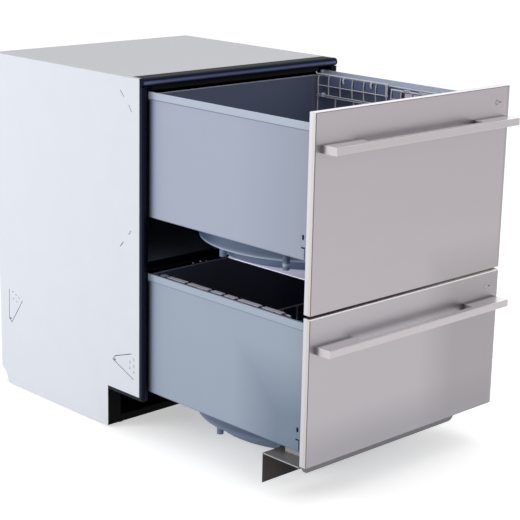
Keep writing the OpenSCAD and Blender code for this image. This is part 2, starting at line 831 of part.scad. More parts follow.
module pump_rotor(level) {
    top = -bowl_h - seat;
    color("steelblue") in_drawer(level) translate([0, bowl_y, 0]) {
        translate([0, 0, top - motor_h + 6]) cylinder(h = motor_h - 12, r = magnet_r);
        translate([0, 0, top - motor_h + 3]) cylinder(h = motor_h + 22, r = shaft_r);
        translate([0, 0, -bowl_h + tub_t + 2]) cylinder(h = 6, r = impeller_r);
        for (a = [0 : 60 : 300]) rotate(a)
            block(shaft_r - 1, impeller_r, -1.5, 1.5, -bowl_h + tub_t + 7, -bowl_h + tub_t + 18);
    }
}

module filter_plate(level) {
    r = bowl_mid_r + (filter_z - bowl_mid_z) * bowl_cone - tub_t - seat;
    color("slategray") in_drawer(level) translate([0, bowl_y, filter_z]) {
        linear_extrude(filter_t) difference() {
            intersection() {
                circle(r);
                square([2 * min(r, basin_half_w - tub_t - slide),
                    basin_len - 2 * tub_t - 2 * slide], center = true);
            }
            for (i = [0 : filter_slots - 1]) rotate(i * 360 / filter_slots)
                translate([90, -2]) square([100, 4]);
        }
        cylinder(h = axle_top - filter_z, r = axle_r);
        cylinder(h = arm_z - seat - filter_z, r = axle_r + 8);
    }
}

module spray_arm(level) {
    color("gray") in_drawer(level) translate([0, bowl_y, arm_z]) difference() {
        linear_extrude(arm_t) {
            square([2 * arm_l - arm_w, arm_w], center = true);
            circle(arm_w * 0.8);
            for (x = [-1, 1]) translate([x * (arm_l - arm_w / 2), 0]) circle(arm_w / 2);
        }
        translate([0, 0, -cut]) cylinder(h = axle_top - arm_z + cut + 1, r = axle_r + run);
        for (s = [-1, 1], i = [1 : 4]) translate([s * arm_l * i / 4.6, s * arm_w * 0.22, arm_t - 3])
            cylinder(h = 4, r = 2);
    }
}

// --------------------------------------------------------------- racks

// A flat grid of bars between (0, 0) and (w, h), with its bars at xs and zs
module grid(w, h, xs, zs) {
    for (x = xs) translate([x, 0]) square([wire, h]);
    for (z = zs) translate([0, z]) square([w, wire]);
}

// Distance between the uprights of a cup rack that runs from y0 to y1
function rack_pitch(y0, y1) = (y1 - y0 - wire) / floor((y1 - y0 - wire) / cup_pitch);

// A snap-in bearing on the basket's side for a cup rack's pivot wire
module pivot_clip(y) {
    along_y(y - 3, 6) difference() {
        translate([pivot_x - 4.5, pivot_z - 4]) square([basket_half_w - pivot_x + 3.5, 11]);
        translate([pivot_x, pivot_z + wire / 2]) circle(wire / 2 + run);
    }
}

// The dish basket: a base grid with feet, rows of tines on their own wires, two sides with
// bearings for the cup racks, and two ends. They are one welded piece, drawn a hair apart.
module basket(level, left_racks, right_racks) {
    w = 2 * basket_half_w;
    d = basket_y1 - basket_y0;
    x_pitch = (w - wire) / (wires_along - 1);
    y_pitch = (d - wire) / (wires_across - 1);
    xs = [for (i = [0 : wires_along - 1]) i * x_pitch];
    ys = [for (i = [0 : wires_across - 1]) i * y_pitch];
    lift = wire + weld;
    side_h = basket_side_h - lift;
    end_h = basket_end_h - lift;
    end_w = w - 2 * lift;
    end_xs = [0, for (i = [1 : wires_along - 2]) xs[i] - lift, end_w - wire];
    color("whitesmoke") in_drawer(level) {
        translate([0, 0, basket_z]) {
            linear_extrude(wire) translate([-basket_half_w, basket_y0]) grid(w, d, xs, ys);
            both_sides() along_x(basket_half_w - wire, wire) translate([basket_y0, lift])
                grid(d, side_h, ys, [0, side_h / 2, side_h - wire]);
            for (y = [basket_y0, basket_y1 - wire]) along_y(y, wire)
                translate([-basket_half_w + lift, lift])
                grid(end_w, end_h, end_xs, [0, end_h / 2, end_h - wire]);
            for (i = [1 : 2 : wires_along - 2])
                tine_row(-basket_half_w + xs[i] + wire / 2, lift);
            both_sides() for (y = [basket_y0, basket_y1 - wire])
                block(basket_half_w - 10, basket_half_w, y, y + wire,
                    floor_top + seat - basket_z, 1);
        }
        for (r = right_racks, y = [r[0], r[1]])
            pivot_clip(y + (y == r[0] ? 1 : -1) * (wire + rack_pitch(r[0], r[1])) / 2);
        mirror([1, 0, 0]) for (r = left_racks, y = [r[0], r[1]])
            pivot_clip(y + (y == r[0] ? 1 : -1) * (wire + rack_pitch(r[0], r[1])) / 2);
    }
}

// A row of tines on the wire that carries them, at x, from z0 up
module tine_row(x, z0) {
    y0 = basket_y0 + tine_end;
    last = y0 + tine_pitch * floor((basket_y1 - tine_end - y0) / tine_pitch);
    block(x - wire / 2, x + wire / 2, y0 - 2 * wire, last + 2 * wire, z0, z0 + wire);
    translate([0, 0, z0 + wire / 2]) linear_extrude(tine_h - z0)
        for (y = [y0 : tine_pitch : last + 1]) translate([x, y]) circle(tine_r, $fn = 8);
}

// A cup rack folded up against the right side, from y0 to y1, on a round pivot wire.
// Its slats lie behind the wires, from low to high above the pivot.
module cup_rack(level, y0, y1, h, low, high) {
    pitch = rack_pitch(y0, y1);
    ys = [for (y = [0 : pitch : y1 - y0 - wire / 2]) y];
    in_drawer(level) translate([pivot_x, 0, pivot_z + wire / 2]) {
        color("whitesmoke") along_x(-wire / 2, wire) translate([y0, 0])
            grid(y1 - y0, h, ys, [h - wire, h * 0.42]);
        color("whitesmoke") along_y(y0, y1 - y0) circle(wire / 2);
        color("slateblue") along_x(wire / 2 - 0.5, 2.5) for (y = ys) if (y < y1 - y0 - pitch / 2)
            translate([y0 + y + 1, low]) square([pitch - 1, high - low]);
    }
}

rack_y0 = basket_y0 + 53;
rack_y1 = basket_y1 - 4;
rack_mid_y = rack_y0 + (rack_y1 - rack_y0) * rack_split;
slat_low = 24;
long_rack = [rack_y0, rack_y1];
rear_rack = [rack_mid_y + rack_gap, rack_y1];
front_rack = [rack_y0, rack_mid_y];

// A left rack, from its height and its slats' lower edge above the pivot
module cup_rack_left(level, h, low) {
    mirror([1, 0, 0]) cup_rack(level, rack_y0, rack_y1, h, low, low + 7);
}

// The lower drawer's left slats stand just above the basin's edge
lower_left_slat = rim_z - pivot_z - wire / 2 - 3;
upper_left_slat = upper_left_rack_h - wire - 9;

// ---------------------------------------------------------- kick plate

// Room for the sump bowl through the kick plate and its shelf
module bowl_room() {
    bowl_solid(-3);
}

shelf_gap = 2.8;
shelf_z = lower_front_z - shelf_gap - lower_tub_z;

module kick_plate() {
    color("dimgray") in_drawer(lower_tub_z) difference() {
        block(-front_half_w + 0.5, front_half_w - 0.5, kick_back, kick_back + kick_t,
            kick_clear - lower_tub_z, shelf_z);
        bowl_room();
    }
}

module kick_shelf() {
    x1 = half_w - lip_inset;
    gusset_x = basin_half_w + 2;
    color("gray") in_drawer(lower_tub_z) difference() {
        union() {
            block(-front_half_w + 0.5, front_half_w - 0.5, 1, kick_back - seat,
                shelf_z - kick_t, shelf_z);
            along_y(lip_back, kick_t) {
                rounded_rect(-x1, x1, shelf_z - lip_drop, shelf_z - kick_t + 0.5, 20);
                translate([-x1, shelf_z - kick_t - 20]) square([2 * x1, 20]);
            }
            both_sides() {
                block(gusset_x, gusset_x + kick_t, 4, 78, shelf_z - 0.5, -seat);
                block(gusset_x - 14, gusset_x + 1, 4, controls_d, -seat - kick_t, -seat);
            }
        }
        bowl_room();
    }
}

// ------------------------------------------------------------ assembly

side_panel_left();
side_panel_right();
top_panel();
back_panel();
base_pan();
recess_wall();
side_trims();
top_trim();
mid_rail();
case_rails(upper_tub_z);  // upper_case_rails
case_rails(lower_tub_z);  // lower_case_rails
levelling_feet();
lid_actuators();
inlet_valve();
drain_outlet();
terminal_box();
lid_hangers();
lid(upper_hanger_z);  // upper_lid
lid_gasket(upper_hanger_z, upper_tub_z);  // upper_lid_gasket
lid(lower_hanger_z);  // lower_lid
lid_gasket(lower_hanger_z, lower_tub_z);  // lower_lid_gasket
middle_rails(upper_tub_z);  // upper_middle_rails
middle_rails(lower_tub_z);  // lower_middle_rails

tub(upper_tub_z);  // upper_tub
drip_tray(upper_tub_z);  // upper_drip_tray
front_panel(upper_tub_z, upper_front_top, upper_front_h);  // upper_front_panel
front_liner(upper_tub_z, upper_front_top, upper_front_h);  // upper_front_liner
handle(upper_tub_z, upper_front_top, upper_handle_drop);  // upper_handle
tub_rails(upper_tub_z);  // upper_tub_rails
wash_motor(upper_tub_z);  // upper_wash_motor
filter_plate(upper_tub_z);  // upper_filter_plate
basket(upper_tub_z, [long_rack], [front_rack, rear_rack]);  // upper_basket
dispenser(upper_tub_z);  // upper_dispenser
control_module(upper_tub_z);  // upper_control_module
spray_arm(upper_tub_z);  // upper_spray_arm
dispenser_lid(upper_tub_z);  // upper_dispenser_lid
cup_rack_left(upper_tub_z, upper_left_rack_h,  // upper_cup_rack_left
    upper_left_slat);
cup_rack(upper_tub_z, rear_rack[0], rear_rack[1], cup_rack_h, slat_low, cup_rack_h - wire - 1);  // upper_cup_rack_rear
cup_rack(upper_tub_z, rack_y0, rack_mid_y, front_rack_h, slat_low - 8, front_rack_h - wire - 1);  // upper_cup_rack_front
start_button(upper_tub_z, upper_front_top);  // upper_start_button
pump_rotor(upper_tub_z);  // upper_pump_rotor

tub(lower_tub_z);  // lower_tub
front_panel(lower_tub_z, lower_front_top, lower_front_h);  // lower_front_panel
front_liner(lower_tub_z, lower_front_top, lower_front_h);  // lower_front_liner
handle(lower_tub_z, lower_front_top, lower_handle_drop);  // lower_handle
tub_rails(lower_tub_z);  // lower_tub_rails
wash_motor(lower_tub_z);  // lower_wash_motor
filter_plate(lower_tub_z);  // lower_filter_plate
basket(lower_tub_z, [long_rack], [long_rack]);  // lower_basket
dispenser(lower_tub_z);  // lower_dispenser
control_module(lower_tub_z);  // lower_control_module
kick_plate();
kick_shelf();
spray_arm(lower_tub_z);  // lower_spray_arm
dispenser_lid(lower_tub_z);  // lower_dispenser_lid
cup_rack_left(lower_tub_z, cup_rack_h, lower_left_slat);  // lower_cup_rack_left
cup_rack(lower_tub_z, rack_y0, rack_y1, cup_rack_h, slat_low, cup_rack_h - wire - 1);  // lower_cup_rack_right
start_button(lower_tub_z, lower_front_top);  // lower_start_button
pump_rotor(lower_tub_z);  // lower_pump_rotor
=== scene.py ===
import json
import math

import bmesh
import bpy
from mathutils import Matrix, Quaternion, Vector


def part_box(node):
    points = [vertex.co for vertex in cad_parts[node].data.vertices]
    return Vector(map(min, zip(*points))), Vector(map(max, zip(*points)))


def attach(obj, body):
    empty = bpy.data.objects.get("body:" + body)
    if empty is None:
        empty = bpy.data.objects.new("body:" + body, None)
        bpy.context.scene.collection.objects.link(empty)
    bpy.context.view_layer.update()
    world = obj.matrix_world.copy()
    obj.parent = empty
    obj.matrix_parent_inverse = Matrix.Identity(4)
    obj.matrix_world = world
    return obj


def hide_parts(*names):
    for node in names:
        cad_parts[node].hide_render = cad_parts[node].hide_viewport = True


bl_info = {
    "name": "Two-drawer dishwasher",
    "version": (1, 0, 0),
    "blender": (4, 5, 0),
    "location": "3D View > Sidebar > Dishwasher",
    "description": "Dresses the packed two-drawer dishwasher, with both drawers open",
    "category": "Object",
}

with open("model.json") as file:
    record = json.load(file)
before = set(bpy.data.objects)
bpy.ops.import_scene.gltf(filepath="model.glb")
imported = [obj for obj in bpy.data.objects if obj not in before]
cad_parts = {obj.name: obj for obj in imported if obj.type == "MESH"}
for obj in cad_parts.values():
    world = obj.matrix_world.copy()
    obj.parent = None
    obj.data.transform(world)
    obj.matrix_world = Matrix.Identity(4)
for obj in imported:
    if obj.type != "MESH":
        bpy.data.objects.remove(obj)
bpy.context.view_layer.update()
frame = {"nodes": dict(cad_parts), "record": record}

MM = 0.001
DRAWERS = ("upper", "lower")
BODY = {
    node: body
    for body, nodes in frame["record"]["behaviour"]["bodies"].items()
    for node in nodes
}
# Heights of the lower edges of the tubs' skirts, below which the sump bowls hang
BOWL_DEPTH = 61 * MM
LEVEL = {d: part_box(f"{d}_tub")[0].z + BOWL_DEPTH for d in DRAWERS}
# The open drawers' front panels: their back in metres, then their face and their back in mm
PANEL_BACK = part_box("upper_front_panel")[1].y
FACE, BEHIND = (corner.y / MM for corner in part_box("upper_front_panel"))
# The inside of a tub in mm: half its width, its ends from the panel's back, its top from the
# skirt's lower edge
BASIN_HALF, BASIN_FRONT, BASIN_BACK, BASIN_TOP = 254.5, 24.5, 517.5, 264
# Limits in mm that no piece reaches
WIDE, DEEP, TALL = (-320, 320), (-600, 600), (-10, 900)
# Black for painted shade, inside the case and between parts
PAINTED_SHADE_BLACK = "020304"
# Height of the cup racks' pivots in mm, from the skirt's lower edge
RACK_PIVOT = 222.3


def linear(colour):
    """The linear colour of an sRGB hex code. A colour that is linear already is kept."""
    if not isinstance(colour, str):
        return colour
    parts = [int(colour[i : i + 2], 16) / 255 for i in (0, 2, 4)]
    return (*[c / 12.92 if c <= 0.04045 else ((c + 0.055) / 1.055) ** 2.4 for c in parts], 1.0)


# ------------------------------------------------------------ sizes and colours


class DishwasherSizes(bpy.types.PropertyGroup):
    """Sizes of the dressing that a user would change."""

    edge: bpy.props.FloatProperty(
        name="Edge", description="Roll of a moulded or folded edge", default=0.7 * MM,
        min=0.1 * MM, max=1.2 * MM, unit="LENGTH",
    )
    bar_edge: bpy.props.FloatProperty(
        name="Handle edge", description="Ground edge of the handle bars", default=1.0 * MM,
        min=0.2 * MM, max=3 * MM, unit="LENGTH",
    )
    wire: bpy.props.FloatProperty(
        name="Basket wire", description="Radius of the baskets' coated wire", default=1.8 * MM,
        min=1 * MM, max=2 * MM, unit="LENGTH",
    )
    bend: bpy.props.FloatProperty(
        name="Wire bend", description="Radius on which the baskets' wires turn up",
        default=10 * MM, min=3 * MM, max=20 * MM, unit="LENGTH",
    )


class DishwasherColours(bpy.types.PropertyGroup):
    """Colours of the finishes that show most."""

    side: bpy.props.FloatVectorProperty(
        name="Side panels", description="Powder coat of the case's sides", size=4,
        subtype="COLOR", default=linear("DFE3EB"), min=0, max=1,
    )
    front: bpy.props.FloatVectorProperty(
        name="Fronts", description="Brushed steel of the drawer fronts", size=4,
        subtype="COLOR", default=linear("AEA8AC"), min=0, max=1,
    )
    tub: bpy.props.FloatVectorProperty(
        name="Tubs", description="Moulded tubs seen from outside", size=4,
        subtype="COLOR", default=linear("A2AABE"), min=0, max=1,
    )
    # The basins' slate is painted shade over the tubs' own blue-grey plastic
    basin: bpy.props.FloatVectorProperty(
        name="Basins", description="Inside of the moulded tubs", size=4,
        subtype="COLOR", default=linear("596179"), min=0, max=1,
    )
    trim: bpy.props.FloatVectorProperty(
        name="Trims", description="Dark moulded trims of the case", size=4,
        subtype="COLOR", default=linear("0B1220"), min=0, max=1,
    )


# -------------------------------------------------------------------- finishes


FINISHES = {}


def put(tree, kind, settings=None, links=None):
    """Adds a node with its properties or inputs' values, and the sources of its other inputs."""
    node = tree.nodes.new(kind)
    for key, value in (settings or {}).items():
        if isinstance(key, str) and hasattr(node, key):
            setattr(node, key, value)
        else:
            node.inputs[key].default_value = value
    for key, source in (links or {}).items():
        tree.links.new(source, node.inputs[key])
    return node


def shades(colour, spread):
    """A colour a little darker and a little lighter."""
    colour = linear(colour)[:3]
    return [(*[min(1.0, c * k) for c in colour], 1.0) for k in (1 - spread, 1 + spread)]


def finish(name, tones, metallic, gloss, patch, grain, depth, stretch=(1, 1, 1), shine=0.5):
    """A finish with two tones in patches, a gloss that varies and a fine grain, sizes in mm."""
    material = bpy.data.materials.new(name)
    material.use_nodes = True
    tree = material.node_tree
    shader = tree.nodes["Principled BSDF"]
    place = put(tree, "ShaderNodeTexCoord").outputs["Object"]
    drawn = put(tree, "ShaderNodeMapping", {"Scale": stretch}, {"Vector": place}).outputs[0]
    cloud = put(tree, "ShaderNodeTexNoise", {"Scale": 1000 / patch, "Detail": 3}, {"Vector": drawn})
    tone = put(
        tree, "ShaderNodeMix", {"data_type": "RGBA", 6: tones[0], 7: tones[1]},
        {0: cloud.outputs[0]},
    ).outputs[2]
    fine = put(tree, "ShaderNodeTexNoise", {"Scale": 1000 / grain, "Detail": 2}, {"Vector": drawn})
    rough = put(
        tree, "ShaderNodeMapRange", {"To Min": gloss[0], "To Max": gloss[1]},
        {"Value": fine.outputs[0]},
    )
    bump = put(
        tree, "ShaderNodeBump", {"Strength": 0.5, "Distance": depth * MM},
        {"Height": fine.outputs[0]},
    )
    shader.inputs["Metallic"].default_value = metallic
    shader.inputs["Specular IOR Level"].default_value = shine
    tree.links.new(tone, shader.inputs["Base Color"])
    tree.links.new(rough.outputs[0], shader.inputs["Roughness"])
    tree.links.new(bump.outputs[0], shader.inputs["Normal"])
    FINISHES[name] = material
    return material


def tinted(material, colour, x=WIDE, y=DEEP, z=TALL, soft=0.2, metal=None):
    """Lays a colour over a finish between limits in mm, whose edges are soft by so many mm."""
    tree = material.node_tree
    low, high = (Vector(corner) * MM for corner in zip(x, y, z))
    place = put(tree, "ShaderNodeTexCoord").outputs["Object"]
    off = put(
        tree, "ShaderNodeVectorMath", {"operation": "SUBTRACT", 1: (low + high) / 2}, {0: place}
    )
    far = put(tree, "ShaderNodeVectorMath", {"operation": "ABSOLUTE"}, {0: off.outputs[0]})
    over = put(
        tree, "ShaderNodeVectorMath", {"operation": "SUBTRACT", 1: (high - low) / 2},
        {0: far.outputs[0]},
    )
    over_x, over_y, over_z = put(tree, "ShaderNodeSeparateXYZ", None, {0: over.outputs[0]}).outputs
    most = put(tree, "ShaderNodeMath", {"operation": "MAXIMUM"}, {0: over_x, 1: over_y})
    most = put(tree, "ShaderNodeMath", {"operation": "MAXIMUM"}, {0: most.outputs[0], 1: over_z})
    inside = put(
        tree, "ShaderNodeMapRange", {"From Min": soft * MM, "From Max": -soft * MM},
        {"Value": most.outputs[0]},
    )
    shader = tree.nodes["Principled BSDF"]
    under = shader.inputs["Base Color"].links[0].from_socket
    laid = put(
        tree, "ShaderNodeMix", {"data_type": "RGBA", 7: linear(colour)},
        {0: inside.outputs[0], 6: under},
    )
    tree.links.new(laid.outputs[2], shader.inputs["Base Color"])
    if metal is not None:
        was = shader.inputs["Metallic"].default_value
        dull = put(
            tree, "ShaderNodeMapRange", {"To Min": was, "To Max": metal},
            {"Value": inside.outputs[0]},
        )
        tree.links.new(dull.outputs[0], shader.inputs["Metallic"])


def sheet_finishes(colours):
    """Coated and galvanised steel sheet of the case, its runners and the kick plate."""
    # Powder-coated steel sheet: satin, with a fine orange peel of about 1.5 mm. Inside, and in the
    # cuts of its tabs, it is painted black as shade
    steel = finish(
        "powder_coated_steel", shades(colours.side, 0.02), 0, (0.42, 0.52), 60, 1.5, 0.03,
        shine=0.08,
    )
    wall, rear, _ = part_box("side_panel_right")[1] / MM
    tinted(steel, PAINTED_SHADE_BLACK, (0.7 - wall, wall - 0.7), (-600, rear - 0.3), soft=0.1)
    for y, z in (((16, 110), (60, 700)), ((430, 540), (60, 330))):
        tinted(steel, PAINTED_SHADE_BLACK, (0.1 - wall, wall - 0.1), y, z, 0.05)
    # Hot-dip galvanised sheet: dull zinc crystals, about 9 mm across
    zinc = (0.42, 0.55), 9, 2.5, 0.02
    finish("galvanised_sheet", shades("B9BABE", 0.05), 0.85, *zinc)
    # The top's sheet is the same, and the dark trim laps over its front edge
    top = finish("lapped_top_sheet", shades("B9BABE", 0.05), 0.85, *zinc, shine=0.04)
    tinted(top, "06080D", (-293, 293), (0, 46), (800, 830), 0.3, metal=0)
    # The back and the pan are painted black as shade on the side that faces the drawers
    back = finish("back_sheet_painted_shade", shades("B4B7BB", 0.07), 0.6, *zinc, shine=0.06)
    middle = sum(corner.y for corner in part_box("back_panel")) / 2 / MM
    tinted(back, PAINTED_SHADE_BLACK, y=(-600, middle), soft=0.1)
    pan = finish("pan_sheet_painted_shade", shades("9A9DA1", 0.07), 0.6, *zinc, shine=0.06)
    tinted(pan, PAINTED_SHADE_BLACK, z=(4.8, 900))
    # Zinc-plated rolled rails: bright, drawn lengthwise
    finish("zinc_plated_rail", shades("B7BCC2", 0.05), 1.0, (0.26, 0.38), 18, 0.9, 0.01,
           (1, 0.04, 1))
    # Dark stove-enamelled steel of the kick plate, with painted shade from the shelf above that
    # darkens it towards its middle
    kick = finish("enamelled_steel", shades("45403F", 0.05), 0, (0.30, 0.42), 35, 1.2, 0.02,
                  shine=0.08)
    tinted(kick, "171516", (-205, 205), z=(-10, 200), soft=55)
    # The kick shelf's lighter enamel, with painted highlights along its outer edges, and paler on a
    # flap at each end near the front
    shelf = finish("enamelled_steel_painted_highlights", shades("7C7A7D", 0.06), 0, (0.30, 0.42), 35, 1.2, 0.02)
    for side in (-1, 1):
        highlight_edge = sorted((side * 297.4, side * 299.5))
        tinted(shelf, "B9B9BE", highlight_edge, (-600, 0), (0, 200), 0.3)
        flap = sorted((side * 240, side * 300))
        tinted(shelf, "BDB9B6", flap, (-486, -400), (96, 116), 0.5)


def stainless_finishes(colours):
    """Stainless steel, brushed on the fronts, ground on the bars and turned on the buttons."""
    # Brushed along the front: lines about 0.6 mm apart, drawn as coarse as shows
    front = finish(
        "brushed_stainless", shades(colours.front, 0.02), 1.0, (0.34, 0.44), 60, 0.8, 0.012,
        (0.012, 1, 1),
    )
    width, edge, depth = (-299, 299), (-299, -298.2), (FACE - 1, 0)
    low_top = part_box("lower_front_panel")[1].z / MM
    # A painted reflection of the darker floor makes the lower front a little greyer, and darker
    # towards its right end and its foot
    tinted(front, "ABA8AC", width, depth, (0, low_top + 1), 2)
    tinted(front, "8A8586", (150, 400), depth, (0, low_top - 20), 110)
    tinted(front, "8F8D93", (-400, 400), depth, (0, 120), 70)
    # Both faces are darker along their right edge
    tinted(front, "9C989B", (291, 300), (FACE - 1, FACE + 2), (0, 900), 3)
    # Where the sheet folds back, its top carries a painted highlight in front and painted shade
    # behind, with a darker line along the fold
    fold = (FACE - 1, FACE + 1.2)
    for drawer in DRAWERS:
        low, high = (corner.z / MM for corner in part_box(f"{drawer}_front_panel"))
        tinted(front, "6E6663", (-299, -296.8), fold, (low - 1, high + 1), 0.5)
        tinted(front, "857F82", width, fold, (high - 1.6, high + 1), 0.4)
        tinted(front, "F0F0F4", width, (FACE + 1.4, 0), (high - 0.4, high + 1))
        tinted(front, "7E787B", width, (FACE + 17, 0), (high - 2, high + 1), 0.3)
    # Between the fronts, the lower one's fold carries a painted highlight in front and painted
    # black shade behind
    tinted(front, "DCD4D3", width, (FACE - 1, FACE + 6), (low_top - 2.6, low_top + 1), 0.4)
    tinted(front, PAINTED_SHADE_BLACK, width, (FACE + 6, 0), (low_top - 0.4, low_top + 1), 0.4)
    # The sheet folded back at the left end is painted pale, and warmer near the face, for the light
    # it reflects
    tinted(front, "BDBEC5", edge, (FACE + 1.4, 0), (0, 900))
    tinted(front, "BBB5B1", edge, (FACE + 1.4, FACE + 9), (0, 900), 0.4)
    # The same steel, ground on the bars: brighter, with a closer line. Painted shade darkens them
    # where they meet the front, and a painted highlight makes their tops almost white
    bars = finish(
        "ground_stainless", shades("B9B3B6", 0.03), 1.0, (0.24, 0.34), 10, 0.7, 0.01, (0.02, 1, 1)
    )
    length = (-284, 284)
    for drawer in DRAWERS:
        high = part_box(f"{drawer}_handle")[1].z / MM
        tinted(bars, "F6F3F6", length, (-600, FACE), (high - 0.3, high + 1))
    tinted(bars, "3C3431", length, (FACE - 7, FACE + 2), (0, 900), 6)
    # Turned stainless button, no brighter than the front round it
    finish("turned_stainless", shades("AEA8AC", 0.02), 1.0, (0.30, 0.40), 6, 0.5, 0.01)


def moulded_finishes(colours):
    """Moulded plastics, rubber and coatings."""
    # Moulded glass-filled polypropylene, near black with a blue cast, fine spark texture
    for name, gloss, shine in (
        ("dark_moulding", (0.22, 0.32), 0.18), ("dark_top_moulding", (0.55, 0.65), 0.08)
    ):
        trim = finish(name, shades(colours.trim, 0.12), 0, gloss, 30, 0.9, 0.02, shine=shine)
        shader = trim.node_tree.nodes["Principled BSDF"]
        shader.inputs["Specular Tint"].default_value = linear("8E9CC8")
    # A painted highlight runs along the middle of the top trim's round nose, in a paler blue
    tinted(FINISHES["dark_top_moulding"], "5C6690", (-296, 296), (0, 40), (807.5, 813.5), 2)
    # Between the side trims' outer strips all is in black shade
    tinted(FINISHES["dark_moulding"], PAINTED_SHADE_BLACK, (-289, 289), (0, 14), (130, 800), 0.6)
    # Black moulded polypropylene inside the case
    finish("black_moulding", shades("050607", 0.12), 0, (0.48, 0.60), 30, 0.9, 0.03, shine=0.07)
    # White moulded polypropylene of valve and dispensers
    finish("white_moulding", shades("D9DBE0", 0.02), 0, (0.34, 0.44), 30, 0.9, 0.02)
    # Lilac-white moulded tray under the upper tub, with a faint glow: painted light that brightens
    # it in the tub's shade
    tray = finish("lilac_moulding", shades("E2E0F2", 0.03), 0, (0.40, 0.50), 30, 1.1, 0.02)
    shader = tray.node_tree.nodes["Principled BSDF"]
    shader.inputs["Emission Color"].default_value = linear("E2E0F2")
    shader.inputs["Emission Strength"].default_value = 0.24
    # Grey moulded polypropylene of lids and filters
    finish("lid_moulding", shades("6F7787", 0.04), 0, (0.38, 0.48), 40, 1.1, 0.03)
    # Slate moulded spray arm
    finish("spray_moulding", shades("5C6474", 0.05), 0, (0.32, 0.42), 25, 1.0, 0.02)
    # Soft black rubber: matt, slightly bloomed
    finish("extruded_rubber", shades("09090B", 0.18), 0, (0.68, 0.82), 12, 0.8, 0.03, shine=0.2)
    # Black moulded nylon of the feet
    finish("black_nylon", shades("1C1E21", 0.10), 0, (0.46, 0.58), 12, 0.7, 0.02)
    # Wire dipped in pale nylon: smooth and slightly waxy
    finish("nylon_coated_wire", shades("C3C4D0", 0.025), 0, (0.30, 0.40), 8, 0.9, 0.01)
    # Cup racks' moulded slats, in the three tones that show
    finish("navy_slat", shades("616C90", 0.06), 0, (0.30, 0.42), 14, 0.9, 0.02)
    finish("blue_slat", shades("6B7690", 0.06), 0, (0.30, 0.42), 14, 0.9, 0.02)
    finish("lilac_slat", shades("CFCAD8", 0.05), 0, (0.34, 0.46), 14, 0.9, 0.02)
    # Glass-epoxy circuit board under a clear lacquer
    finish("circuit_board", shades("1E4A32", 0.22), 0, (0.22, 0.36), 4, 1.2, 0.03)
    # Sintered magnet, dipped in blue-grey epoxy
    finish("coated_magnet", shades("3D4652", 0.10), 0.2, (0.34, 0.48), 9, 0.8, 0.02)
    # Smoked window of the start buttons' lamps and the groove round each button
    finish("dark_window", shades("202024", 0.08), 0, (0.12, 0.2), 5, 0.8, 0.005)
    for drawer in DRAWERS:
        tub_finish(colours, drawer)


# What differs between the tubs: the painted shade over the outside, the rim's band with its painted
# highlight, the painted shade of the front end and up to what height it reaches in mm, and how
# light the basin's painted shade leaves it
TUB_TONES = {
    "upper": ((1, 1, 1), "B0BACB", "969EB0", 800, 1.0),
    "lower": ((0.864, 0.927, 0.902), "A1AEBE", "5E7288", 225, 0.45),
}


def tub_finish(colours, drawer):
    """Moulded polypropylene, blue-grey outside; painted shade makes it slate inside, and a painted
    highlight gives the rim a lighter band.
    """
    outside_shade, rim, shade, shade_top, light = TUB_TONES[drawer]
    level = LEVEL[drawer] / MM
    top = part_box(f"{drawer}_tub")[1].z / MM
    outer = tuple(c * k for c, k in zip(colours.tub, outside_shade))
    tub = finish(f"{drawer}_tub_moulding", shades(outer, 0.02), 0, (0.38, 0.48), 90, 1.3, 0.02)
    # Painted shade darkens the outside towards the front end, up to the given height
    tinted(tub, shade, y=(BEHIND - 60, BEHIND + 130), z=(0, shade_top), soft=90)
    # Painted shade darkens the sump bowl, most of all just under the skirt; on the upper tub's bowl
    # a painted highlight runs along a ledge lower down
    tinted(tub, "657690", z=(level - 200, level - 1), soft=3)
    tinted(tub, "455874", z=(level - 30, level - 1), soft=4)
    if drawer == "upper":
        tinted(tub, "A9B5C6", z=(level - 39, level - 34), soft=2)
    # The skirt is painted black as shade where it runs behind the trims
    tinted(tub, "0C0E13", y=(1, 600), z=(level - 3, top - 15), soft=7)
    # The rim's band is a painted highlight, with a painted shadow line under it and painted shade
    # on a step along each side
    tinted(tub, "76819A", z=(top - 17.2, top - 14.6), soft=0.6)
    tinted(tub, rim, z=(top - 15, top + 5), soft=0.5)
    for side in (-1, 1):
        step = sorted((side * 267, side * 273))
        tinted(tub, "5E6678", step, z=(top - 12, top - 7), soft=0.8)
    # The basin's slate is painted shade on the same plastic, darker still in the lower tub under
    # the upper one
    inner = (*[c * light for c in colours.basin[:3]], 1)
    back, high = BEHIND + BASIN_BACK, level + BASIN_TOP
    tinted(tub, inner, (-BASIN_HALF, BASIN_HALF), (BEHIND + BASIN_FRONT, back), (level + 1.5, high))
    # The rear right corner is browner
    tinted(tub, "4E474C", (244, BASIN_HALF), (back - 10, back), (level + 120, high), 2)


# ---------------------------------------------------------------------- shaping


def alone(*pieces):
    """Selects only these pieces, the first of them active."""
    if bpy.context.object and bpy.context.object.mode != "OBJECT":
        bpy.ops.object.mode_set(mode="OBJECT")
    bpy.ops.object.select_all(action="DESELECT")
    for piece in pieces:
        piece.select_set(True)
    bpy.context.view_layer.objects.active = pieces[0]


def choose(piece, test):
    """In edit mode, selects the faces whose middle and normal pass."""
    bpy.ops.mesh.select_mode(type="FACE")
    bpy.ops.mesh.select_all(action="DESELECT")
    mesh = bmesh.from_edit_mesh(piece.data)
    for face in mesh.faces:
        face.select_set(test(face.calc_center_median(), face.normal))
    mesh.select_flush_mode()
    bmesh.update_edit_mesh(piece.data)


def smooth(piece, angle):
    """Shades a piece smooth, apart from edges sharper than the angle."""
    alone(piece)
    bpy.ops.object.shade_smooth_by_angle(angle=math.radians(angle))
    return piece


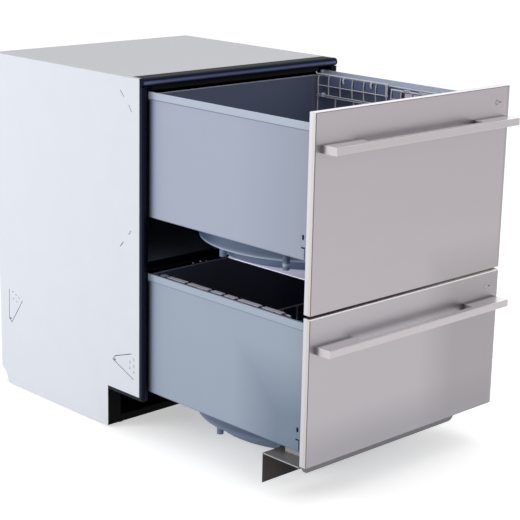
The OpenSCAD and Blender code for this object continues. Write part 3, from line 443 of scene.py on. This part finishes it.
def eased(piece, width, segments=3):
    """Rolls a piece's sharp edges and keeps its flat faces flat."""
    alone(piece)
    bevel = piece.modifiers.new("Rolled edges", "BEVEL")
    bevel.width = width
    bevel.segments = segments
    bevel.limit_method = "ANGLE"
    bevel.angle_limit = math.radians(35)
    bpy.ops.object.modifier_apply(modifier=bevel.name)
    smooth(piece, 50)
    flat = piece.modifiers.new("Flat faces", "WEIGHTED_NORMAL")
    flat.weight = 100
    flat.keep_sharp = True
    bpy.ops.object.modifier_apply(modifier=flat.name)
    return piece


def joined(name, pieces):
    """Joins pieces into one."""
    alone(*pieces)
    if len(pieces) > 1:
        bpy.ops.object.join()
    pieces[0].name = name
    pieces[0].data.name = name
    return pieces[0]


def copied(piece, name, move):
    """A copy with its own mesh, moved into place."""
    alone(piece)
    bpy.ops.object.duplicate(linked=False)
    copy = bpy.context.object
    copy.name = name
    copy.location = Vector(move)
    bpy.ops.object.transform_apply(location=True, rotation=True, scale=True)
    return copy


def traced(node, name):
    """A copy of a CAD piece with its triangles merged into whole faces, to be shaped further."""
    source = frame["nodes"][node]
    copy = source.copy()
    copy.data = source.data.copy()
    copy.name = name
    for key in list(copy.keys()):
        del copy[key]
    copy.parent = None
    bpy.context.collection.objects.link(copy)
    copy.matrix_world = Matrix.Identity(4)
    alone(copy)
    bpy.ops.object.mode_set(mode="EDIT")
    bpy.ops.mesh.select_all(action="SELECT")
    bpy.ops.mesh.remove_doubles(threshold=0.005 * MM)
    bpy.ops.mesh.dissolve_limited(angle_limit=math.radians(0.5))
    bpy.ops.object.mode_set(mode="OBJECT")
    return copy


def fitted(piece, node, material, stands_for=True):
    """Gives a piece its finish and the body of a CAD node, which it may stand for."""
    piece.data.materials.clear()
    piece.data.materials.append(FINISHES[material])
    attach(piece, BODY[node])
    if stands_for:
        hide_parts(node)
    return piece


def rolled(node, name, material, width):
    """Stands a copy of a CAD piece with rolled edges in its place."""
    return fitted(eased(traced(node, name), width), node, material)


def coat(node, material):
    """Gives a CAD piece that keeps its shape its finish."""
    for slot in frame["nodes"][node].material_slots:
        slot.material = FINISHES[material]


# Turns a round thing, which Blender makes about Z, so that it lies about another axis
TURNS = {"X": (0, math.pi / 2, 0), "Y": (math.pi / 2, 0, 0), "Z": (0, 0, 0)}


def block(name, low, high):
    """A block between two corners in mm."""
    low, high = Vector(low) * MM, Vector(high) * MM
    bpy.ops.mesh.primitive_cube_add(size=1, location=(low + high) / 2)
    piece = bpy.context.object
    piece.name = name
    piece.scale = high - low
    bpy.ops.object.transform_apply(location=True, rotation=True, scale=True)
    return piece


def drum(name, centre, radius, length, way, sides):
    """A round bar centred at a place in mm."""
    bpy.ops.mesh.primitive_cylinder_add(
        vertices=sides, radius=radius * MM, depth=length * MM,
        location=Vector(centre) * MM, rotation=TURNS[way],
    )
    piece = bpy.context.object
    piece.name = name
    bpy.ops.object.transform_apply(location=True, rotation=True, scale=True)
    return piece


def stepped(piece, way, steps):
    """Steps the end of a piece that looks one way: each step is an inset and a rise in mm."""
    way = Vector(way)
    end = max(v.co.dot(way) for v in piece.data.vertices)
    alone(piece)
    bpy.ops.object.mode_set(mode="EDIT")
    choose(piece, lambda p, n: n.dot(way) > 0.99 and p.dot(way) > end - 0.01 * MM)
    for inset, rise in steps:
        if inset:
            bpy.ops.mesh.inset(thickness=inset * MM)
        if rise:
            bpy.ops.mesh.extrude_region_move(
                TRANSFORM_OT_translate={"value": tuple(way * rise * MM)}
            )
    bpy.ops.object.mode_set(mode="OBJECT")
    return piece


def ring(name, centre, radius, thick, way, around, sides):
    """A round ring centred at a place in mm."""
    bpy.ops.mesh.primitive_torus_add(
        major_radius=radius * MM, minor_radius=thick * MM, major_segments=around,
        minor_segments=sides, location=Vector(centre) * MM, rotation=TURNS[way],
    )
    piece = bpy.context.object
    piece.name = name
    bpy.ops.object.transform_apply(location=True, rotation=True, scale=True)
    return piece


def rounded(points, bend):
    """A path in metres whose corners turn on arcs of that radius."""
    points = [Vector(p) for p in points]
    path = [points[0]]
    for a, b, c in zip(points, points[1:], points[2:]):
        into, away = (b - a).normalized(), (c - b).normalized()
        turn = into.angle(away)
        # A wire that turns by about a degree or less needs no arc
        if turn < 0.02:
            path.append(b)
            continue
        back = min(bend * math.tan(turn / 2), 0.45 * (b - a).length, 0.45 * (c - b).length)
        radius = back / math.tan(turn / 2)
        axis = into.cross(away).normalized()
        start = b - into * back
        centre = start + axis.cross(into) * radius
        count = max(2, round(math.degrees(turn) / 22))
        for i in range(count + 1):
            path.append(centre + Quaternion(axis, turn * i / count) @ (start - centre))
    path.append(points[-1])
    return path


def wires(name, runs, radius, tips=False):
    """Bent wires as one piece, perhaps with thin tips. A run is a wire's middle, in metres."""
    line = bpy.data.curves.new(name, "CURVE")
    line.dimensions = "3D"
    line.bevel_depth = radius
    line.bevel_resolution = 2
    line.use_fill_caps = True
    for run in runs:
        spline = line.splines.new("POLY")
        spline.points.add(len(run) - 1)
        for point, place in zip(spline.points, run):
            point.co = (*place, 1)
        if tips:
            spline.points[-1].radius = 0.45
            spline.points[-2].radius = 0.85
    piece = bpy.data.objects.new(name, line)
    bpy.context.collection.objects.link(piece)
    alone(piece)
    bpy.ops.object.convert(target="MESH")
    return smooth(bpy.context.object, 50)


def at(drawer, x, u, w):
    """A place in a drawer: u from the back of its front, w from its skirt's lower edge, in mm."""
    return Vector((x * MM, PANEL_BACK + u * MM, LEVEL[drawer] + w * MM))


def in_mm(place):
    """The same place in mm."""
    return tuple(c / MM for c in place)


# -------------------------------------------------------------------- operators


class DISHWASHER_OT_case(bpy.types.Operator):
    """The case's sheets, its trims and the wall behind the toe recess"""

    bl_idname = "dishwasher.case"
    bl_label = "Case"

    def execute(self, context):
        edge = context.scene.dishwasher_sizes.edge
        for node in ("side_panel_left", "side_panel_right"):
            coat(node, "powder_coated_steel")
        coat("top_panel", "lapped_top_sheet")
        coat("back_panel", "back_sheet_painted_shade")
        coat("base_pan", "pan_sheet_painted_shade")
        coat("recess_wall", "black_moulding")
        rolled("side_trims", "rolled_side_trims", "dark_moulding", edge)
        rolled("top_trim", "rolled_top_trim", "dark_top_moulding", edge)
        rolled("mid_rail", "rolled_mid_rail", "dark_moulding", edge)
        return {"FINISHED"}


class DISHWASHER_OT_base(bpy.types.Operator):
    """Feet, water inlet, drain spigot and terminal box"""

    bl_idname = "dishwasher.base"
    bl_label = "Base"

    def execute(self, context):
        edge = context.scene.dishwasher_sizes.edge
        rolled("levelling_feet", "rolled_feet", "black_nylon", edge)
        rolled("terminal_box", "rolled_terminal_box", "black_moulding", 1.2 * MM)
        coat("inlet_valve", "white_moulding")
        coat("drain_outlet", "black_moulding")
        # The inlet's 3/4 inch thread has 14 turns an inch
        end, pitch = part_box("inlet_valve")[1].y / MM, 1.81
        turns = [ring("turn", (-200, end - 2.2 - pitch * i, 22), 12.75, 0.42, "Y", 40, 6)
                 for i in range(8)]
        thread = smooth(joined("inlet_thread", turns), 60)
        fitted(thread, "inlet_valve", "white_moulding", False)
        end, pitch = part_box("drain_outlet")[1].y / MM, 6
        barbs = [ring("barb", (-120, end - 3 - pitch * i, 22), 9.0, 0.48, "Y", 40, 6)
                 for i in range(4)]
        fitted(smooth(joined("spigot_barbs", barbs), 60), "drain_outlet", "black_moulding", False)
        return {"FINISHED"}


class DISHWASHER_OT_runners(bpy.types.Operator):
    """The drawers' runners"""

    bl_idname = "dishwasher.runners"
    bl_label = "Runners"

    def execute(self, context):
        for drawer in DRAWERS:
            for part in ("case_rails", "middle_rails", "tub_rails"):
                coat(f"{drawer}_{part}", "zinc_plated_rail")
        return {"FINISHED"}


class DISHWASHER_OT_lids(bpy.types.Operator):
    """The lids with their gaskets, hangers and actuators"""

    bl_idname = "dishwasher.lids"
    bl_label = "Lids"

    def execute(self, context):
        edge = context.scene.dishwasher_sizes.edge
        coat("lid_hangers", "galvanised_sheet")
        rolled("lid_actuators", "rolled_actuators", "black_moulding", edge)
        for drawer in DRAWERS:
            rolled(f"{drawer}_lid", f"rolled_{drawer}_lid", "lid_moulding", edge)
            rolled(f"{drawer}_lid_gasket", f"rolled_{drawer}_gasket", "extruded_rubber", 1.2 * MM)
        return {"FINISHED"}


class DISHWASHER_OT_tubs(bpy.types.Operator):
    """The two moulded tubs and the tray under the upper one"""

    bl_idname = "dishwasher.tubs"
    bl_label = "Tubs"

    def execute(self, context):
        edge = context.scene.dishwasher_sizes.edge
        for drawer in DRAWERS:
            rolled(f"{drawer}_tub", f"rolled_{drawer}_tub", f"{drawer}_tub_moulding", edge)
        rolled("upper_drip_tray", "rolled_drip_tray", "lilac_moulding", 0.5 * MM)
        return {"FINISHED"}


class DISHWASHER_OT_fronts(bpy.types.Operator):
    """Drawer fronts, their liners and their start buttons"""

    bl_idname = "dishwasher.fronts"
    bl_label = "Fronts"

    def execute(self, context):
        edge = context.scene.dishwasher_sizes.edge
        for drawer in DRAWERS:
            rolled(f"{drawer}_front_panel", f"rolled_{drawer}_front", "brushed_stainless", edge)
            coat(f"{drawer}_front_liner", "black_moulding")
            low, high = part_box(f"{drawer}_start_button")
            x, z = (low.x + high.x) / 2 / MM, (low.z + high.z) / 2 / MM
            front, back = low.y / MM, high.y / MM
            cap = drum("cap", (x, (front + back) / 2, z), 6.5, back - front, "Y", 48)
            # A groove is turned into the cap's end
            sunk = 0.35
            stepped(cap, (0, -1, 0), [(0.4, 0), (1.3, 0), (0, -sunk), (0.9, 0), (0, sunk)])
            fitted(eased(joined(f"{drawer}_turned_button", [cap]), 0.12 * MM),
                   f"{drawer}_start_button", "turned_stainless")
            groove = ring("groove", (x, front + 0.85, z), 4.3, 1.05, "Y", 48, 8)
            fitted(smooth(joined(f"{drawer}_button_groove", [groove]), 60),
                   f"{drawer}_start_button", "dark_window", False)
            lamp = block("lamp", (x + 7.2, FACE - 0.15, z - 1.1), (x + 14, FACE + 0.3, z + 1.1))
            fitted(eased(joined(f"{drawer}_lamp_window", [lamp]), 0.1 * MM),
                   f"{drawer}_front_panel", "dark_window", False)
        return {"FINISHED"}


class DISHWASHER_OT_handles(bpy.types.Operator):
    """The two square handle bars on their solid ends"""

    bl_idname = "dishwasher.handles"
    bl_label = "Handles"

    def execute(self, context):
        edge = context.scene.dishwasher_sizes.bar_edge
        for drawer in DRAWERS:
            rolled(f"{drawer}_handle", f"ground_{drawer}_handle", "ground_stainless", edge)
        return {"FINISHED"}


class DISHWASHER_OT_baskets(bpy.types.Operator):
    """The dish baskets, bent and welded from coated wire"""

    bl_idname = "dishwasher.baskets"
    bl_label = "Dish baskets"

    def execute(self, context):
        sizes = context.scene.dishwasher_sizes

        def bent(*points):
            return rounded([at("upper", *p) for p in points], sizes.bend)

        def straight(*points):
            return [at("upper", *p) for p in points]

        # In mm: half the width, the ends, the floor, and how far apart crossing wires' middles are
        half, near, far, floor, lay = 245.0, 38, 501, 22, 3.6
        side_top, end_top, bed = 217, 111, floor + lay
        across = [near + (far - near) * i / 8 for i in range(9)]
        along = [half * i / 5 - half for i in range(1, 10)]
        # Hoops from side to side, then from end to end
        runs = [bent((-half, u, side_top), (-half, u, bed), (half, u, bed), (half, u, side_top))
                for u in across]
        runs += [bent((x, near, end_top), (x, near, floor), (x, far, floor), (x, far, end_top))
                 for x in along]
        # Straight wires along the sides, across the ends and under the tines, then four feet
        for side in (-1, 1):
            x = side * (half - lay)
            for w in (60, 122, 218):
                runs.append(straight((x, near, w), (x, far, w)))
        for u in (near + lay, far - lay):
            for w in (68, end_top):
                runs.append(straight((-241, u, w), (241, u, w)))
        for x in along[::2]:
            runs.append(straight((x + lay, 68, bed + lay), (x + lay, 444, bed + lay)))
        for side in (-1, 1):
            for u in (near, far):
                runs.append(straight((side * 242, u, 24), (side * 242, u, 8.2)))
        tines = [straight(*((x, u, w) for w in (26, 97.5, 99, 100)))
                 for x in along[::2] for u in range(76, 437, 30)]
        frame_wires = wires("frame", runs, sizes.wire)
        tine_wires = wires("tines", tines, sizes.wire, tips=True)
        upper = joined("upper_wire_basket", [frame_wires, tine_wires])
        lower = copied(upper, "lower_wire_basket", (0, 0, LEVEL["lower"] - LEVEL["upper"]))
        fitted(upper, "upper_basket", "nylon_coated_wire")
        fitted(lower, "lower_basket", "nylon_coated_wire")
        clips = {
            "upper": [(1, 293), (1, 480), (1, 111), (1, 248), (-1, 110), (-1, 478)],
            "lower": [(1, 110), (1, 478), (-1, 110), (-1, 478)],
        }
        for drawer, places in clips.items():
            made = []
            for side, u in places:
                low = in_mm(at(drawer, side * 241 - 5.3, u - 3, 216.8))
                high = in_mm(at(drawer, side * 241 + 5.3, u + 3, 227))
                made.append(block("clip", low, high))
            fitted(eased(joined(f"{drawer}_pivot_clips", made), 2 * MM, 3),
                   f"{drawer}_basket", "nylon_coated_wire", False)
        return {"FINISHED"}


def rack_wires(drawer, name, side, u0, u1, h, uprights, hooks=(), loops=()):
    """A cup rack folded up against its side: bent uprights between a pivot wire and a top wire."""
    # The racks have the same bends at every height, given here for one 50 mm high
    k = h / 50

    def spot(x, u, w):
        return at(drawer, side * x, u, RACK_PIVOT + w * k)

    fine = [[spot(240, u0 + 2, 0), spot(240, u1 - 2, 0)],
            [spot(238.6, u0 + 2, 22), spot(238.6, u1 - 2, 22)]]
    for u in uprights:
        fine.append(rounded([spot(240, u, 0), spot(238.9, u, 18), spot(238.3, u, 33),
                             spot(239.6, u, 44.5), spot(241, u, 47.6)], 25 * MM))
    thick = [[spot(240.4, u0 + 2, 47.8), spot(240.4, u1 - 2, 47.8)]]
    for u in hooks:
        thick.append(rounded([spot(240, u, 47), spot(236.6, u + 1, 43), spot(236.2, u + 1, 38),
                              spot(238, u - 1, 34)], 6 * MM))
    for a, b in loops:
        fine.append(rounded([spot(240, a, 44), spot(238.6, a, 52), spot(238.6, b, 52),
                             spot(240, b, 44)], 3 * MM))
    parts = [wires("fine", fine, 1.4 * MM), wires("thick", thick, 2.2 * MM)]
    return joined(name, parts)


class DISHWASHER_OT_cup_racks(bpy.types.Operator):
    """The cup racks folded up against the baskets' sides, with their moulded slats"""

    bl_idname = "dishwasher.cup_racks"
    bl_label = "Cup racks"

    def slats(self, drawer, name, side, pieces, w0, w1, x=241.2, thick=2.0):
        """A row of slats, each from one u to another, between the heights w0 and w1 in mm."""
        made = []
        for u0, u1 in pieces:
            low = in_mm(at(drawer, side * x - thick / 2, u0, w0))
            high = in_mm(at(drawer, side * x + thick / 2, u1, w1))
            made.append(block("slat", low, high))
        return eased(joined(name, made), 0.8 * MM, 3)

    def execute(self, context):
        coated = "nylon_coated_wire"
        rear = [280, 313, 350, 386, 424, 461, 495]
        rack = rack_wires("upper", "upper_rear_rack_wires", 1, 273.4, 499, 50, rear,
                          hooks=(326, 412))
        clip = drum("clip", in_mm(at("upper", 238.6, 280, 255)), 3, 28, "Z", 16)
        knob = block("knob", in_mm(at("upper", 235.6, 276.4, 266)),
                     in_mm(at("upper", 241.8, 283.6, 271.6)))
        clip = eased(joined("upper_rack_end_clip", [clip, knob]), 1 * MM, 2)
        fitted(clip, "upper_cup_rack_rear", coated, False)
        fitted(rack, "upper_cup_rack_rear", coated)
        gaps = list(zip(rear, rear[1:]))
        # No slat at the rear end, where the rack passes the tub's corner
        pieces = [(a + 2.5, b - 3) for a, b in gaps[:-1]]
        fitted(self.slats("upper", "upper_rear_slats", 1, pieces, 246, 267),
               "upper_cup_rack_rear", "navy_slat", False)
        front = [93, 130, 168, 205, 237, 266]
        rack = rack_wires("upper", "upper_front_rack_wires", 1, 89.4, 269.4, 40, front,
                          loops=((210, 228), (144, 185)))
        fitted(rack, "upper_cup_rack_front", coated)
        pieces = [(240, 263), (98, 127), (133, 165)]
        fitted(self.slats("upper", "upper_front_slats", 1, pieces, 241, 258),
               "upper_cup_rack_front", "blue_slat", False)
        pieces = [(207, 227), (171, 202)]
        fitted(self.slats("upper", "upper_front_slat_lilac", 1, pieces, 241, 257),
               "upper_cup_rack_front", "lilac_slat", False)
        # The long racks have eleven uprights, evenly spaced
        long_run = [93 + (495 - 93) * i / 10 for i in range(11)]
        even = [(a + 3, b - 3) for a, b in zip(long_run, long_run[1:])]
        for node, h, side in (("upper_cup_rack_left", 34, -1), ("lower_cup_rack_left", 43, -1),
                              ("lower_cup_rack_right", 50, 1)):
            drawer = node.split("_")[0]
            fitted(rack_wires(drawer, f"{node}_wires", side, 89.4, 499, h, long_run), node, coated)
        fitted(self.slats("upper", "upper_left_slats", -1, even, 241, 253),
               "upper_cup_rack_left", "navy_slat", False)
        fitted(self.slats("lower", "lower_right_slats", 1, even, 246, 266),
               "lower_cup_rack_right", "navy_slat", False)
        # The lower left rack's slats lie flat, level with the rim
        flat = [(107, 164), (175, 237), (248, 279), (289, 321), (332, 396), (407, 465), (474, 487)]
        fitted(self.slats("lower", "lower_left_slats", -1, flat, 266.4, 268.4, 246.8, 13),
               "lower_cup_rack_left", "lilac_slat", False)
        return {"FINISHED"}


class DISHWASHER_OT_washing(bpy.types.Operator):
    """Spray arms, filter plates, wash motors and pump rotors"""

    bl_idname = "dishwasher.washing"
    bl_label = "Washing parts"

    def execute(self, context):
        for drawer in DRAWERS:
            rolled(f"{drawer}_spray_arm", f"rolled_{drawer}_arm", "spray_moulding", 1.2 * MM)
            low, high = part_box(f"{drawer}_spray_arm")
            y, top = (low.y + high.y) / 2 / MM, high.z / MM
            # Four nozzles along each half of the arm, off its middle on the side that leads
            reach, off = 215, 10.12
            rims = []
            for side in (-1, 1):
                for i in range(1, 5):
                    place = (side * reach * i / 4.6, y + side * off, top + 0.1)
                    rims.append(ring("rim", place, 2.8, 0.6, "Z", 16, 6))
            rims.append(ring("hub", (0, y, top + 0.2), 14, 1.0, "Z", 40, 8))
            fitted(smooth(joined(f"{drawer}_nozzle_rims", rims), 60),
                   f"{drawer}_spray_arm", "spray_moulding", False)
            coat(f"{drawer}_filter_plate", "lid_moulding")
            rolled(f"{drawer}_wash_motor", f"rolled_{drawer}_motor", "black_moulding", 1.5 * MM)
            coat(f"{drawer}_pump_rotor", "coated_magnet")
        return {"FINISHED"}


class DISHWASHER_OT_dispensers(bpy.types.Operator):
    """Detergent dispensers with their lids, and the control modules"""

    bl_idname = "dishwasher.dispensers"
    bl_label = "Dispensers and controls"

    def execute(self, context):
        for drawer in DRAWERS:
            for node, name in (("dispenser", "dispenser"), ("dispenser_lid", "dose_lid")):
                rolled(f"{drawer}_{node}", f"rolled_{drawer}_{name}", "white_moulding", 0.5 * MM)
            coat(f"{drawer}_control_module", "circuit_board")
        return {"FINISHED"}


class DISHWASHER_OT_kick(bpy.types.Operator):
    """The kick plate and the shelf that carries it"""

    bl_idname = "dishwasher.kick"
    bl_label = "Kick plate"

    def execute(self, context):
        edge = context.scene.dishwasher_sizes.edge
        rolled("kick_plate", "rolled_kick_plate", "enamelled_steel", edge)
        rolled("kick_shelf", "rolled_kick_shelf", "enamelled_steel_painted_highlights", edge)
        return {"FINISHED"}


class DISHWASHER_OT_stage(bpy.types.Operator):
    """White floor, soft lamps, white surroundings and the camera"""

    bl_idname = "dishwasher.stage"
    bl_label = "Stage"

    def lamp(self, name, place, aim, size, power):
        bpy.ops.object.light_add(type="AREA", location=place)
        lamp = bpy.context.object
        lamp.name = name
        lamp.data.shape = "SQUARE"
        lamp.data.size = size
        lamp.data.energy = power
        lamp.rotation_euler = (Vector(aim) - Vector(place)).to_track_quat("-Z", "Y").to_euler()

    def execute(self, context):
        # The floor is just under the feet
        bpy.ops.mesh.primitive_plane_add(size=40, location=(0, 0, -0.5 * MM))
        floor = bpy.context.object
        floor.name = "studio_floor"
        bpy.ops.object.transform_apply(location=True, rotation=True, scale=True)
        paint = bpy.data.materials.new("white_floor_paint")
        paint.use_nodes = True
        tree = paint.node_tree
        shader = tree.nodes["Principled BSDF"]
        shader.inputs["Base Color"].default_value = linear("F4F4F4")
        shader.inputs["Roughness"].default_value = 0.9
        shader.inputs["Specular IOR Level"].default_value = 0.0
        shader.inputs["Emission Color"].default_value = (1, 1, 1, 1)
        tree.links.new(self.seen(tree, 0, 0.46), shader.inputs["Emission Strength"])
        floor.data.materials.append(paint)

        world = context.scene.world or bpy.data.worlds.new("white_surroundings")
        context.scene.world = world
        world.use_nodes = True
        tree = world.node_tree
        air = tree.nodes["Background"]
        air.inputs["Color"].default_value = (1, 1, 1, 1)
        tree.links.new(self.seen(tree, 0.62, 1.0), air.inputs["Strength"])

        self.lamp("left_lamp", (-3.1, 1.9, 1.7), (0, -0.1, 0.4), 1.6, 44)
        self.lamp("front_lamp", (-0.8, -3.8, 1.9), (0, -0.3, 0.4), 2.2, 22)
        self.lamp("top_lamp", (0.4, -0.4, 3.4), (0, 0, 0.4), 2.6, 22)

        bpy.ops.object.camera_add(location=(-2.3622, -2.4923, 1.2925))
        camera = context.object
        camera.name = "photo_camera"
        yaw, pitch, roll = math.radians(44.12), math.radians(14.96), 0.022
        ahead = Vector((math.sin(yaw) * math.cos(pitch), math.cos(yaw) * math.cos(pitch),
                        -math.sin(pitch)))
        right = Vector((math.cos(yaw), -math.sin(yaw), 0))
        up = right.cross(ahead)
        right, up = (right * math.cos(roll) + up * math.sin(roll),
                     up * math.cos(roll) - right * math.sin(roll))
        turn = Matrix((right, up, -ahead)).transposed()
        camera.matrix_world = Matrix.Translation(camera.location) @ turn.to_4x4()
        camera.data.lens = 106.05
        camera.data.sensor_width = 36
        context.scene.camera = camera
        context.scene.view_settings.view_transform = "Standard"
        return {"FINISHED"}

    def seen(self, tree, lit, bright):
        """Bright for rays straight from the camera, off a gloss or through a clear thing."""
        path = put(tree, "ShaderNodeLightPath").outputs
        either = put(tree, "ShaderNodeMath", {"operation": "MAXIMUM"},
                     {0: path["Is Camera Ray"], 1: path["Is Glossy Ray"]})
        any_of = put(tree, "ShaderNodeMath", {"operation": "MAXIMUM"},
                     {0: either.outputs[0], 1: path["Is Transmission Ray"]})
        return put(tree, "ShaderNodeMapRange", {"To Min": lit, "To Max": bright},
                   {"Value": any_of.outputs[0]}).outputs[0]


class DISHWASHER_PT_parts(bpy.types.Panel):
    """Lists the steps that dress the dishwasher."""

    bl_label = "Dishwasher"
    bl_idname = "DISHWASHER_PT_parts"
    bl_space_type = "VIEW_3D"
    bl_region_type = "UI"
    bl_category = "Dishwasher"

    def draw(self, context):
        for group in (context.scene.dishwasher_sizes, context.scene.dishwasher_colours):
            box = self.layout.box()
            for name in group.__annotations__:
                box.prop(group, name)
        for operator in STEPS:
            self.layout.operator(operator.bl_idname)


STEPS = (
    DISHWASHER_OT_case,
    DISHWASHER_OT_base,
    DISHWASHER_OT_runners,
    DISHWASHER_OT_lids,
    DISHWASHER_OT_tubs,
    DISHWASHER_OT_fronts,
    DISHWASHER_OT_handles,
    DISHWASHER_OT_baskets,
    DISHWASHER_OT_cup_racks,
    DISHWASHER_OT_washing,
    DISHWASHER_OT_dispensers,
    DISHWASHER_OT_kick,
    DISHWASHER_OT_stage,
)
CLASSES = (DishwasherSizes, DishwasherColours, *STEPS, DISHWASHER_PT_parts)


def register():
    for entry in CLASSES:
        bpy.utils.register_class(entry)
    scene = bpy.types.Scene
    scene.dishwasher_sizes = bpy.props.PointerProperty(type=DishwasherSizes)
    scene.dishwasher_colours = bpy.props.PointerProperty(type=DishwasherColours)


def unregister():
    del bpy.types.Scene.dishwasher_sizes
    del bpy.types.Scene.dishwasher_colours
    for entry in reversed(CLASSES):
        bpy.utils.unregister_class(entry)


def main():
    register()
    bpy.ops.object.select_all(action="DESELECT")
    for make in (sheet_finishes, stainless_finishes, moulded_finishes):
        make(bpy.context.scene.dishwasher_colours)
    for step in STEPS:
        group, name = step.bl_idname.split(".")
        getattr(getattr(bpy.ops, group), name)()
    bpy.context.view_layer.update()


if __name__ == "__main__":
    main()
